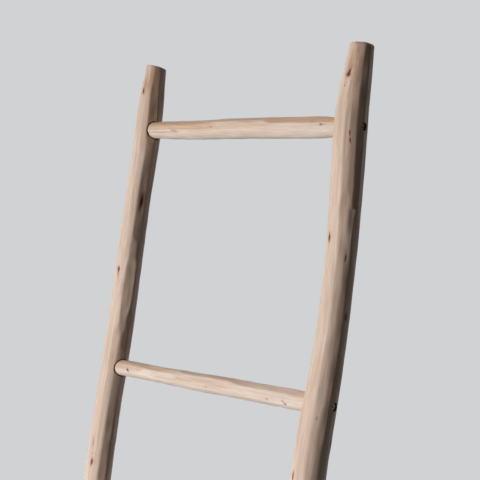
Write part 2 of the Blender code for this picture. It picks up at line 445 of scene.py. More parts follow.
@dataclass(frozen=True)
class CutEndGrain:
    """The same wood cut across its fibres, by a saw or a boring bit.

    The eye sees a duller, browner surface with year rings round the heart, a few drying checks
    that run out from it, drawn as dark lines of painted shade, and the small pores of the cut
    fibres.
    """

    name: str
    pale: str
    dark: str
    # the drying checks' dark lines: painted shade in cracks that the mesh doesn't cut
    check: str
    ring_spacing_mm: float = 2.1
    pore_mm: float = 0.5  # real pores are 0.1 to 0.2 mm; these are as coarse as it takes to show
    wobble_mm: float = 11.0
    ring_wander: float = 2.4
    rays: float = 3.1  # how many drying checks could start in each radian round the heart
    roughness: float = 0.78
    depth_mm: float = 0.10

    def build(self) -> bpy.types.Material:
        """Makes the material.

        Returns:
            The material.
        """
        material, tree, shader = new_material(self.name)
        add = partial(add_node, tree)
        grain = add("Attribute", out="Vector", attribute_name="grain")
        flat = add("VectorMath", {0: grain, 1: (1.0, 1.0, 0.15)}, operation="MULTIPLY")
        links = {"Vector": flat, "Scale": 1 / (self.wobble_mm * MM), "Detail": 2.0}
        wobble = add("TexNoise", links)
        radius = add("VectorMath", {0: flat}, "Value", operation="LENGTH")
        spacing = 1 / (self.ring_spacing_mm * MM)
        turns = add("Math", {0: radius, 1: spacing}, operation="MULTIPLY")
        links = {0: wobble, 1: self.ring_wander, 2: turns}
        shifted = add("Math", links, operation="MULTIPLY_ADD")
        saw = add("Math", {0: shifted}, operation="FRACT")
        x, y, _ = add("SeparateXYZ", {0: grain}).node.outputs
        turn = add("Math", {0: y, 1: x}, operation="ARCTAN2")
        links = {"W": turn, "Scale": self.rays, "Detail": 3.0}
        rays = add("TexNoise", links, noise_dimensions="1D")
        colour: Any = linear(self.pale)
        for value, low, high, over in (
            (saw, 0.55, 1.0, self.dark),
            (rays, 0.63, 0.68, self.check),
        ):
            links = {"Value": value, "From Min": low, "From Max": high}
            share = add("MapRange", links, interpolation_type="SMOOTHSTEP")
            links = {"Factor": share, 6: colour, 7: linear(over)}
            colour = add("Mix", links, 2, data_type="RGBA")
        pores = add("TexVoronoi", {"Vector": flat, "Scale": 1 / (self.pore_mm * MM)})
        links = {"Value": pores, "From Min": 0.05, "From Max": 0.45, "To Min": 0.75}
        pore = add("MapRange", links)
        grey = add("CombineXYZ", {"X": pore, "Y": pore, "Z": pore})
        links = {"Factor": 1.0, 6: colour, 7: grey}
        colour = add("Mix", links, 2, data_type="RGBA", blend_type="MULTIPLY")
        tree.links.new(colour, shader.inputs["Base Color"])
        shader.inputs["Roughness"].default_value = self.roughness
        bump = {"Strength": 0.8, "Distance": self.depth_mm * MM, "Height": pore}
        tree.links.new(add("Bump", bump), shader.inputs["Normal"])
        return material


@dataclass(frozen=True)
class ZincPlatedSteel:
    """Zinc-plated steel, as on common wood screws: bright, faintly warm and finely mottled."""

    name: str = "zinc_plated_steel"
    bright: str = "#C9C4B6"
    dull: str = "#99917F"
    grain_mm: float = 0.5  # zinc's own crystals are far finer; this is coarse enough to show
    roughness: float = 0.32

    def build(self) -> bpy.types.Material:
        """Makes the material.

        Returns:
            The material.
        """
        material, tree, shader = new_material(self.name)
        place = add_node(tree, "TexCoord", out="Object")
        links = {"Vector": place, "Scale": 1 / (self.grain_mm * MM), "Detail": 3.0}
        mottle = add_node(tree, "TexNoise", links)
        links = {"Factor": mottle, 6: linear(self.dull), 7: linear(self.bright)}
        colour = add_node(tree, "Mix", links, 2, data_type="RGBA")
        tree.links.new(colour, shader.inputs["Base Color"])
        links = {"Value": mottle, "From Min": 0.3, "From Max": 0.7}
        links |= {"To Min": self.roughness + 0.10, "To Max": self.roughness - 0.06}
        tree.links.new(add_node(tree, "MapRange", links), shader.inputs["Roughness"])
        shader.inputs["Metallic"].default_value = 1.0
        return material


@dataclass(frozen=True)
class StudioPaper:
    """Matt pale paper under the rack, with a faint unevenness and a little light of its own."""

    name: str = "matt_studio_paper"
    pale: str = "#DDDBD7"
    shade: str = "#D5D3CF"
    patch_mm: float = 400.0
    glow: float = 0.55

    def build(self) -> bpy.types.Material:
        """Makes the material.

        Returns:
            The material.
        """
        material, tree, shader = new_material(self.name)
        place = add_node(tree, "TexCoord", out="Object")
        links = {"Vector": place, "Scale": 1 / (self.patch_mm * MM), "Detail": 2.0}
        cloud = add_node(tree, "TexNoise", links)
        links = {"Factor": cloud, 6: linear(self.shade), 7: linear(self.pale)}
        colour = add_node(tree, "Mix", links, 2, data_type="RGBA")
        tree.links.new(colour, shader.inputs["Base Color"])
        tree.links.new(colour, shader.inputs["Emission Color"])
        shader.inputs["Emission Strength"].default_value = self.glow
        shader.inputs["Roughness"].default_value = 0.9
        return material


# --------------------------------------------------------------------------------------------
# Poles: what the CAD gives, and what the knife leaves
# --------------------------------------------------------------------------------------------


@dataclass(frozen=True)
class Basis:
    """Three directions of a pole: angle 0, angle 90 and the way along it."""

    zero: Array
    quarter: Array
    along: Array

    @property
    def flip(self) -> bool:
        """Whether turning from zero to quarter goes against the right hand about along."""
        return float(np.dot(np.cross(self.zero, self.quarter), self.along)) < 0

    def split(self, points: Array) -> tuple[Array, Array, Array]:
        """The points' places along the three directions."""
        return points @ self.zero, points @ self.quarter, points @ self.along

    def join(self, first: Array, second: Array, along: Array) -> Array:
        """Turns places along the three directions into points in the row frame.

        Args:
            first: the places along zero.
            second: the places along quarter.
            along: the places along the pole.

        Returns:
            The points.
        """
        parts = np.broadcast_arrays(first, second, along)
        axes = (self.zero, self.quarter, self.along)
        return sum(part[..., None] * axis for part, axis in zip(parts, axes))


@dataclass(frozen=True)
class Core:
    """Centre line and thickness of a pole, read from its CAD node."""

    basis: Basis
    along: Array
    first: Array
    second: Array
    radius: Array

    @classmethod
    def measure(cls, node: str, basis: Basis, low: float, high: float) -> "Core":
        """Cuts sections through a CAD node and fits a circle to each one's outline.

        Args:
            node: the CAD node.
            basis: the pole's directions.
            low: where the first section is, along the pole.
            high: where the last one is.

        Returns:
            The smoothed centre line and radius.
        """
        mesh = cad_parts[node].data
        first, second, along = basis.split(mesh_points(mesh))
        ends = np.empty(len(mesh.edges) * 2, np.int32)
        mesh.edges.foreach_get("vertices", ends)
        a, b = ends.reshape(-1, 2).T
        places = np.linspace(low, high, round((high - low) / SECTION_STEP))
        found = []
        for place in places:
            cut = np.flatnonzero((along[a] - place) * (along[b] - place) < 0)
            part = (place - along[a[cut]]) / (along[b[cut]] - along[a[cut]])
            x = first[a[cut]] + part * (first[b[cut]] - first[a[cut]])
            y = second[a[cut]] + part * (second[b[cut]] - second[a[cut]])
            outline = np.stack([x, y], 1)
            hull = outline[convex_hull_2d([Vector(p) for p in outline])]
            system = np.column_stack([2 * hull, np.ones(len(hull))])
            centre = np.linalg.lstsq(system, (hull**2).sum(1), rcond=None)[0][:2]
            found.append((*centre, np.linalg.norm(hull - centre, axis=1).max()))
        return cls(basis, places, *cls.smoothed(np.array(found)))

    @staticmethod
    def smoothed(rows: Array) -> Array:
        """Evens out the corners between the CAD's straight stretches.

        Args:
            rows: the two places of the centre and the radius, for each section.

        Returns:
            One evened row for each column of rows.
        """
        weights = np.array([1.0, 4.0, 6.0, 4.0, 1.0])
        weights /= weights.sum()
        before = 2 * rows[:1] - rows[2:0:-1]
        after = 2 * rows[-1:] - rows[-2:-4:-1]
        padded = np.concatenate([before, rows, after])
        return np.stack([np.convolve(column, weights, "valid") for column in padded.T])

    def at(self, along: Array) -> tuple[Array, Array, Array]:
        """The centre's two places and the radius at these places along the pole."""
        columns = (self.first, self.second, self.radius)
        return tuple(np.interp(along, self.along, column) for column in columns)


@dataclass(frozen=True)
class Stroke:
    """One long flat that the drawknife left.

    start and end are places along the pole, counted from its reference end. The flat is 2 times
    half_width wide, in degrees round the pole, where it is full, and it turns by drift over its
    length. run_in and run_out are how fast the blade went in and out.
    """

    start: float
    end: float
    angle: float
    half_width: float
    run_in: float = 0.035
    run_out: float = 0.035
    drift: float = 0.0
    tone: float = 0.0
    soft: float = 0.0006


@dataclass(frozen=True)
class Window:
    """A stretch of a pole, from its reference end, whose strokes are set one by one."""

    reach: float
    angle: float
    half_width: float
    overlap: float = 0.06

    def spare(self, strokes: Sequence[Stroke]) -> list[Stroke]:
        """Takes the window's part out of the strokes that run all over the pole.

        Args:
            strokes: the strokes.

        Returns:
            Those that don't cut into the window, and the rest of those that run past its end.
        """
        kept = []
        for stroke in strokes:
            off = (stroke.angle - self.angle + 180.0) % 360.0 - 180.0
            if abs(off) > self.half_width or stroke.start > self.reach:
                kept.append(stroke)
            elif stroke.end > self.reach + self.overlap:
                kept.append(replace(stroke, start=self.reach - self.overlap))
        return kept


@dataclass(frozen=True)
class Mark:
    """A knot, check or nick: its place from the reference end, angle, and half sizes in mm.

    slant turns it, in degrees, from straight along the pole.
    """

    place: float
    angle: float
    half_width: float
    half_length: float
    kind: MarkKind = MarkKind.KNOT
    slant: float = 0.0


@dataclass(frozen=True)
class Shaving:
    """How a pole was shaved all over, before the strokes that are set one by one."""

    seed: int
    lanes: int = 11
    shortest: float = 0.11
    longest: float = 0.34
    overlap: float = 0.045
    width_share: float = 1.08
    jitter: float = 5.0
    drift: float = 7.0
    widths: tuple[float, float] = (0.84, 1.14)  # shares of a lane's own half width
    runs: tuple[float, float] = (0.018, 0.05)
    tones: tuple[float, float] = (-0.5, 0.8)
    softs: tuple[float, float] = (0.0004, 0.0010)
    ripple_mm: float = 0.10
    chatter_mm: float = 0.025
    out_of_round: float = 0.006
    skin_mm: float = 0.16  # how deep a cut has to be for most of the inner bark to go

    def strokes(self, length: float) -> list[Stroke]:
        """Lane after lane of strokes, each running into the next.

        Args:
            length: the pole's length.

        Returns:
            The strokes, the same each time for the same seed.
        """
        random = np.random.default_rng(self.seed)
        half = 180.0 / self.lanes * self.width_share
        made = []
        for lane in range(self.lanes):
            middle = 360.0 * lane / self.lanes + random.uniform(-self.jitter, self.jitter) * 0.5
            start = -random.uniform(0.0, self.longest)
            while start < length:
                end = start + random.uniform(self.shortest, self.longest)
                stroke = Stroke(
                    start,
                    end,
                    middle + random.uniform(-self.jitter, self.jitter),
                    half * random.uniform(*self.widths),
                    run_in=random.uniform(*self.runs),
                    run_out=random.uniform(*self.runs),
                    drift=random.uniform(-self.drift, self.drift),
                    tone=random.uniform(*self.tones),
                    soft=random.uniform(*self.softs),
                )
                made.append(stroke)
                start = end - self.overlap
        return [made[k] for k in random.permutation(len(made))]

    def waves(self) -> Array:
        """The slow waves that the hand left in the surface, and the blade's quick chatter.

        Returns:
            Rows of (height, radians per metre, turns round the pole, phase).
        """
        random = np.random.default_rng(self.seed + 1000)
        rows = []
        for count, height, shortest, longest, turns in (
            (26, self.ripple_mm * MM / 3.6, 0.022, 0.11, 9),
            (8, self.chatter_mm * MM / 2.0, 0.004, 0.008, 4),
        ):
            for _ in range(count):
                per_metre = 2 * math.pi / random.uniform(shortest, longest)
                rows.append((height, per_metre, random.integers(-turns, turns + 1)))
        phases = random.uniform(0, 2 * math.pi, len(rows))
        return np.column_stack([np.array(rows, float), phases])


@dataclass
class Pole:
    """A shaved pole round a CAD node's centre line, with what the knife left on it.

    chosen, marks and window are counted from the reference end: the low one if from_low is true.
    """

    core: Core
    shaving: Shaving
    low: float
    high: float
    from_low: bool
    chosen: Sequence[Stroke] = ()
    marks: Sequence[Mark] = ()
    window: Window | None = None
    stroke_margin: float = 0.004  # a slanted ring this far past a stroke may still reach it
    mark_fade: float = 2.2  # how far past its halo a mark is still followed, in core sizes
    _strokes: list[Stroke] = field(default_factory=list, repr=False)

    def __post_init__(self) -> None:
        """Puts the strokes in the order in which they were cut."""
        strokes = self.shaving.strokes(self.high - self.low)
        self._strokes = self.window.spare(strokes) if self.window else strokes
        self._strokes += self.chosen

    def place(self, distance: float) -> float:
        """The place along the pole that is this far from its reference end."""
        return self.low + distance if self.from_low else self.high - distance

    def carve(self, along: Array, angle: Array) -> dict[str, Array]:
        """What the surface is at these places.

        Args:
            along: places along the pole, one row of them for each ring.
            angle: angles in radians, in the same shape.

        Returns:
            radius, and for the finish: tone of the stroke, skin left, and depth below the skin.
        """
        core_radius = self.core.at(along)[2]
        wander = sum(
            np.cos(turns * angle + 9.0 * turns * along + self.shaving.seed + turns)
            for turns in (2, 3)
        )
        skin = core_radius * (1.0 + self.shaving.out_of_round * wander)
        radius = skin.copy()
        tone = np.zeros_like(radius)
        middle = along.mean(axis=1) if along.ndim == 2 else along
        for stroke in self._strokes:
            ends = sorted((self.place(stroke.start), self.place(stroke.end)))
            off_middle = np.abs(middle - sum(ends) / 2)
            rows = np.flatnonzero(off_middle < (ends[1] - ends[0]) / 2 + self.stroke_margin)
            if not len(rows):
                continue
            down = along[rows] - self.low if self.from_low else self.high - along[rows]
            share = (down - stroke.start) / (stroke.end - stroke.start)
            went_in = ease((down - stroke.start) / stroke.run_in)
            went_out = ease((stroke.end - down) / stroke.run_out)
            deep = (1.0 - math.cos(math.radians(stroke.half_width))) * went_in * went_out
            middle_angle = math.radians(stroke.angle) + math.radians(stroke.drift) * (share - 0.5)
            facing = np.cos(angle[rows] - middle_angle)
            flat = np.where(
                (facing > LEAST_FACING) & (deep > 0),
                core_radius[rows] * (1.0 - deep) / np.maximum(facing, LEAST_FACING),
                1.0,
            )
            before = radius[rows]
            radius[rows] = blend(before, flat, stroke.soft)
            cut = ease((before - flat) / (0.5 * stroke.soft) + 0.5)
            tone[rows] += (stroke.tone - tone[rows]) * cut
        below = skin - radius
        for height, per_metre, turns, phase in self.shaving.waves():
            radius = radius + height * np.sin(per_metre * along + turns * angle + phase)
        left = np.exp(-np.clip(below, 0.0, None) / (self.shaving.skin_mm * MM))
        return {"radius": radius, "tone": tone, "skin": left, "below": below / MM}

    def from_mark(self, mark: Mark, along: Array, angle: Array) -> tuple[Array, Array]:
        """How far points of the surface are from a mark's middle.

        Args:
            mark: the mark.
            along: the points' places along the pole.
            angle: their angles in radians.

        Returns:
            The distances across the mark and along it, in millimetres.
        """
        turn = (angle - math.radians(mark.angle) + math.pi) % (2 * math.pi) - math.pi
        x = turn * self.core.at(along)[2] / MM
        y = (along - self.place(mark.place)) / MM
        cosine, sine = math.cos(math.radians(mark.slant)), math.sin(math.radians(mark.slant))
        return x * cosine + y * sine, -x * sine + y * cosine

    def mark_fields(self, along: Array, angle: Array) -> tuple[Array, Array]:
        """Where each point lies in the nearest mark's own measure, and what that mark is.

        Args:
            along: the points' places along the pole.
            angle: their angles in radians.

        Returns:
            Rows of (across, along, near) in half sizes, and rows of the mark's kind.
        """
        best = np.full(along.shape, np.inf)
        field_at = np.zeros(along.shape + (3,))
        kind = np.tile([0.0, 0.0, 1.0], along.shape + (1,))
        for mark in self.marks:
            x, y = self.from_mark(mark, along, angle)
            across, lengthways = x / mark.half_width, y / mark.half_length
            away = np.hypot(across, lengthways)
            closer = away < best
            best = np.where(closer, away, best)
            near = ease(mark.kind.value[2] + self.mark_fade - away)
            field_at[closer] = np.stack([across, lengthways, near], -1)[closer]
            kind[closer] = mark.kind.value[:3]
        return field_at, kind

    def dent(self, along: Array, angle: Array) -> Array:
        """How far the surface sinks at the marks.

        Args:
            along: the points' places along the pole.
            angle: their angles in radians.

        Returns:
            The depth at each point.
        """
        sunk = np.zeros(along.shape)
        for mark in self.marks:
            x, y = self.from_mark(mark, along, angle)
            across, lengthways = x / max(mark.half_width, 1.0), y / max(mark.half_length, 1.0)
            sunk += mark.kind.value[3] * MM * np.exp(-(across**2) - lengthways**2)
        return sunk

    def dress(self, mesh: bpy.types.Mesh) -> None:
        """Gives each vertex what the finishes read: its place in the grain, facet and mark.

        Args:
            mesh: the pole's finished mesh.
        """
        first, second, along = self.core.basis.split(mesh_points(mesh))
        centre_first, centre_second, _ = self.core.at(along)
        x, y = first - centre_first, second - centre_second
        angle = np.arctan2(y, x)
        carved = self.carve(along[:, None], angle[:, None])
        marks, kinds = self.mark_fields(along, angle)
        set_attribute(mesh, "grain", np.stack([x, y, along], 1))
        facet = [carved[key][:, 0] for key in ("tone", "skin", "below")]
        set_attribute(mesh, "facet", np.stack(facet, 1))
        set_attribute(mesh, "mark", marks)
        set_attribute(mesh, "mark_kind", kinds)


def bore(obj: bpy.types.Object, cutters: Sequence[bpy.types.Object]) -> None:
    """Cuts every cutter out of an object, and removes the cutters.

    Args:
        obj: the object that is bored.
        cutters: closed meshes that don't touch one another.
    """
    for cutter in cutters:
        cut = obj.modifiers.new(cutter.name, "BOOLEAN")
        cut.operation = "DIFFERENCE"
        cut.solver = "MANIFOLD"
        cut.object = cutter
    graph = bpy.context.evaluated_depsgraph_get()
    mesh = bpy.data.meshes.new_from_object(obj.evaluated_get(graph))
    obj.modifiers.clear()
    obj.data = mesh
    for cutter in cutters:
        bpy.data.objects.remove(cutter, do_unlink=True)


@dataclass
class Stile:
    """One of the two uprights, with its blind mortises, screw holes and counterbores.

    top_slant is how far the sawn top falls off across and towards the wall, in radii.
    """

    side: Side
    basis: Basis
    shaving: Shaving
    chosen: Sequence[Stroke]
    marks: Sequence[Mark]
    joints: Sequence["Joint"]
    top_slant: tuple[float, float] = (0.0, 0.0)
    top_bevel_width: float = 0.0025
    top_bevel_height: float = 0.0030
    top_soft: float = 0.0005
    window: Window = Window(0.66, -47.0, 79.0)
    foot_bevel: float = 0.0020
    foot_round: tuple[float, float] = (0.3, 0.35)  # where the bevel bends, in and up, in bevels
    foot_rim: float = 0.006  # width of the ring of faces inside the bevel
    top_cuts: int = 11
    top_rings: tuple[float, ...] = (0.97, 0.8, 0.55, 0.3)  # over the sawn top, in radii
    foot_clear: float = 0.016  # between the slanted foot and the lowest section
    top_clear: float = 0.007  # between the bevelled top and the highest one
    foot_pull: float = 0.09  # how far up the level foot turns the rings
    top_pull: float = 0.05  # how far down the slanted top does
    around: int = 96
    step: float = 0.0022

    def __post_init__(self) -> None:
        """Reads the pole's centre line, thickness and ends from its CAD node."""
        self.node = f"{self.side.word}_stile"
        points = mesh_points(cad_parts[self.node].data)
        heights = self.basis.split(points)[2]
        self.top = float(heights.max())
        foot = float(heights.min())
        low, high = foot + self.foot_clear, self.top - self.top_clear
        core = Core.measure(self.node, self.basis, low, high)
        ends = (foot, self.top)
        cuts = (self.chosen, self.marks, self.window)
        self.pole = Pole(core, self.shaving, *ends, False, *cuts)

    def bevelled(self, radius: Array, along: Array, angle: Array) -> Array:
        """Pares the top edge with short knife cuts.

        Args:
            radius: the radius at each point.
            along: the points' places along the pole.
            angle: their angles in radians.

        Returns:
            The pared radius.
        """
        random = np.random.default_rng(self.shaving.seed + 7)
        slope = self.top_bevel_width / self.top_bevel_height
        edge = float(radius[-1].min())
        top = along[-1]
        for k in range(self.top_cuts):
            turn = math.radians(360.0 / self.top_cuts * (k + random.uniform(-0.25, 0.25)))
            width = self.top_bevel_width * random.uniform(0.75, 1.3)
            facing = np.cos(angle - turn)
            flat = (edge - width + (top - along) * slope) / np.maximum(facing, LEAST_FACING)
            radius = blend(radius, np.where(facing > LEAST_FACING, flat, 1.0), self.top_soft)
        return radius

    def build(self, materials: Sequence[bpy.types.Material]) -> bpy.types.Object:
        """Builds and bores the stile.

        Args:
            materials: the finishes in the order of Surface.

        Returns:
            The finished object.
        """
        pole, basis = self.pole, self.basis
        rings = round((self.top - pole.low) / self.step)
        angle = np.linspace(0.0, 2 * math.pi, self.around, endpoint=False)
        angle = np.tile(angle, (rings, 1))
        square = np.linspace(pole.low, self.top, rings)[:, None]
        # Only the ends are slanted; between them the rings are square to the pole.
        level = float(-basis.quarter[2] / basis.along[2])
        _, centre, radius = pole.core.at(np.array([pole.low]))
        floor_along = (centre + radius * np.sin(angle)) * level
        slant = np.cos(angle) * self.top_slant[0] + np.sin(angle) * self.top_slant[1]
        slant = (slant - slant.max()) * pole.core.at(np.array([self.top]))[2]
        low_pull = 1.0 - ease((square - pole.low) / self.foot_pull)
        high_pull = 1.0 - ease((self.top - square) / self.top_pull)
        along = square + low_pull * (floor_along - pole.low) + high_pull * slant
        carved = pole.carve(along, angle)["radius"] - pole.dent(along, angle)
        radius = self.bevelled(carved, along, angle)
        first, second, _ = pole.core.at(along)

        def ring(k: int, shrink: float = 0.0, scale: float = 1.0, lift: float = 0.0) -> Array:
            """One ring of the skin.

            Args:
                k: its number, from the foot.
                shrink: how far it is drawn in.
                scale: what it is scaled by about the centre.
                lift: how far it is moved up the pole.

            Returns:
                The ring's points.
            """
            r = (radius[k] - shrink) * scale
            x = first[k] + r * np.cos(angle[k])
            y = second[k] + r * np.sin(angle[k])
            if k == 0:
                return basis.join(x, y, y * level + lift)
            middle = along[k].mean()
            return basis.join(x, y, middle + (along[k] - middle) * scale + lift)

        bevel = self.foot_bevel
        skin = [
            ring(0, bevel + self.foot_rim),
            ring(0, bevel),
            ring(0, bevel * self.foot_round[0], lift=bevel * self.foot_round[1]),
            ring(0, lift=bevel),
            *(ring(k) for k in range(2, rings)),
            *(ring(rings - 1, scale=scale) for scale in self.top_rings),
        ]
        obj = closed_loft(f"{self.node}_shaved_pole", skin, basis.flip)
        kinds = np.full(len(obj.data.polygons), Surface.CROSSCUT.value)
        last = len(skin) - 1 - len(self.top_rings)
        kinds[1 + self.around : 1 + last * self.around] = Surface.SHAVED.value
        finish_faces(obj.data, materials, kinds)
        cutters = [joint.cutter(self, materials) for joint in self.joints]
        bore(obj, cutters)
        pole.dress(obj.data)
        crisp(obj.data)
        return obj

    def skin_reach(self, second: Array, along: Array, towards: float) -> Array:
        """How far the skin stands out sideways over points of the plane through the pole's length.

        Args:
            second: the points' places towards the wall.
            along: their places along the pole.
            towards: 1 or -1, the sideways direction that is looked in.

        Returns:
            The sideways places of the skin there.
        """
        first, centre, radius = self.pole.core.at(along)
        off = second - centre
        x = towards * np.sqrt(np.maximum(radius**2 - off**2, 0.0))
        for _ in range(3):
            angle = np.arctan2(off, x)
            carved = self.pole.carve(along[:, None], angle[:, None])["radius"][:, 0]
            x = towards * np.sqrt(np.maximum(carved**2 - off**2, 0.0))
        return first + x


@dataclass(frozen=True)
class Joint:
    """Where a rung is let into a stile: a blind round mortise with a screw from outside.

    The mortise's mouth is worn wide by mouth_flare, and mouth_slip sets it a little off centre,
    towards the wall and along the stile, so that the dark gap round the rung is uneven. The gap is
    dark partly from its own shade and partly from the bored finish, whose darker colours are
    painted shade.
    """

    side: Side
    number: int
    clearance: float = 0.0003
    tenon_radius: float = CAD_TENON_RADIUS
    mouth_flare: float = 0.0013
    mouth_slip: tuple[float, float] = (-0.0007, -0.0006)
    mouth_depth: float = 0.0030
    mouth_bend: tuple[float, float] = (0.45, 0.42)  # where the worn mouth bends: out, and deep
    mouth_bend_slip: float = 0.6  # its share of mouth_slip
    mouth_over: float = 0.0012  # how far the tool goes on over the skin there
    mouth_over_flare: float = 0.0016  # how much wider than the mouth the tool is there
    mouth_rough: float = 1.5  # how many times as uneven the mouth is as the counterbore
    rim_over: float = 0.0008  # the same as mouth_over, at the counterbore
    unevenness: float = 0.00014
    counterbore_radius: float = 0.0052
    counterbore_flare: float = 0.0006
    counterbore_slope: float = 1.2  # how deep the flare is for its width
    screw_hole_radius: float = 0.0025
    head_height: float = 0.0030
    reach: float = 0.009
    around: int = 72

    @property
    def rung(self) -> str:
        """The CAD node of the rung."""
        return RUNG_NAMES[self.number]

    @property
    def screw(self) -> str:
        """The CAD node of the screw."""
        return f"{self.side.word}_screw_{self.number + 1}"

    @property
    def inwards(self) -> int:
        """The direction from the stile towards the rungs."""
        return self.side.value

    def end_of(self, node: str, towards: int) -> float:
        """Where a CAD node ends in this direction across the rack."""
        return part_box(node)[1 if towards > 0 else 0][0]

    def axis(self) -> Array:
        """Finds the rung's axis.

        Returns:
            The point on it at the end of the tenon.
        """
        points = mesh_points(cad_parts[self.rung].data)
        end = self.end_of(self.rung, -self.inwards)
        return points[np.abs(points[:, 0] - end) < 1e-5].mean(axis=0)

    def cutter(self, stile: Stile, materials: Sequence[bpy.types.Material]) -> bpy.types.Object:
        """The stepped tool that bores the whole joint, its rims following the stile's skin.

        Args:
            stile: the stile that is bored.
            materials: the stile's finishes.

        Returns:
            A closed mesh.
        """
        basis, inwards = stile.basis, self.inwards
        _, second, along = basis.split(self.axis())
        turn = np.linspace(0.0, 2 * math.pi, self.around, endpoint=False)
        random = np.random.default_rng(stile.shaving.seed * 31 + self.number)
        rough = sum(
            random.uniform(0.3, 1.0) * np.cos(k * turn + random.uniform(0, 6.3))
            for k in (2, 3, 5, 8, 13)
        )
        mortise_floor = self.end_of(self.rung, -inwards) - inwards * self.clearance
        head_top = self.end_of(self.screw, -inwards)
        bed = head_top + inwards * (self.head_height + self.clearance)
        hole = self.tenon_radius + self.clearance

        def ring(
            radius: Array | float,
            x: Array | float | None,
            depth: float,
            towards: int,
            slip: float = 0.0,
        ) -> Array:
            """One ring of the tool.

            Args:
                radius: its radius.
                x: its place across the rack, or None for a ring that follows the skin.
                depth: how far under the skin it lies.
                towards: 1 or -1, the way that skin faces.
                slip: its share of mouth_slip.

            Returns:
                The ring's points.
            """
            r = np.broadcast_to(radius, turn.shape)
            v = second + r * np.cos(turn) + slip * self.mouth_slip[0]
            u = along + r * np.sin(turn) + slip * self.mouth_slip[1]
            if x is None:
                x = stile.skin_reach(v, u, towards) - towards * depth
            return basis.join(x, v, u)

        uneven = self.unevenness * rough
        out, into = -inwards, inwards
        rim = self.counterbore_radius + self.counterbore_flare
        mouth = hole + self.mouth_flare
        flare_depth = self.counterbore_flare * self.counterbore_slope
        deep = self.mouth_depth
        wide, low = self.mouth_bend
        bend = hole + wide * self.mouth_flare + uneven
        worn = self.mouth_rough * uneven
        far_out = ring(rim, None, 0.0, out)[:, 0].mean() + out * self.reach
        far_in = ring(mouth, None, 0.0, into)[:, 0].mean() + into * self.reach
        rings = [
            ring(rim + 0.001, far_out, 0.0, out),
            ring(rim + self.rim_over + uneven, None, -self.rim_over, out),
            ring(rim + uneven, None, 0.0, out),
            ring(self.counterbore_radius, None, flare_depth, out),
            ring(self.counterbore_radius, bed, 0.0, out),
            ring(self.screw_hole_radius, bed, 0.0, out),
            ring(self.screw_hole_radius, mortise_floor, 0.0, into),
            ring(hole, mortise_floor, 0.0, into),
            ring(hole, None, deep, into),
            ring(bend, None, deep * low, into, self.mouth_bend_slip),
            ring(mouth + worn, None, 0.0, into, 1.0),
            ring(mouth + self.mouth_over_flare + worn, None, -self.mouth_over, into, 1.0),
            ring(mouth + 0.003, far_in, 0.0, into, 1.0),
        ]
        cutter = closed_loft(f"{self.screw}_boring", rings, flip=inwards < 0)
        # All the tool's faces take the bored finish, whose darker colours are painted shade in the
        # holes.
        kinds = np.full(len(cutter.data.polygons), Surface.BORED.value)
        finish_faces(cutter.data, materials, kinds)
        return cutter


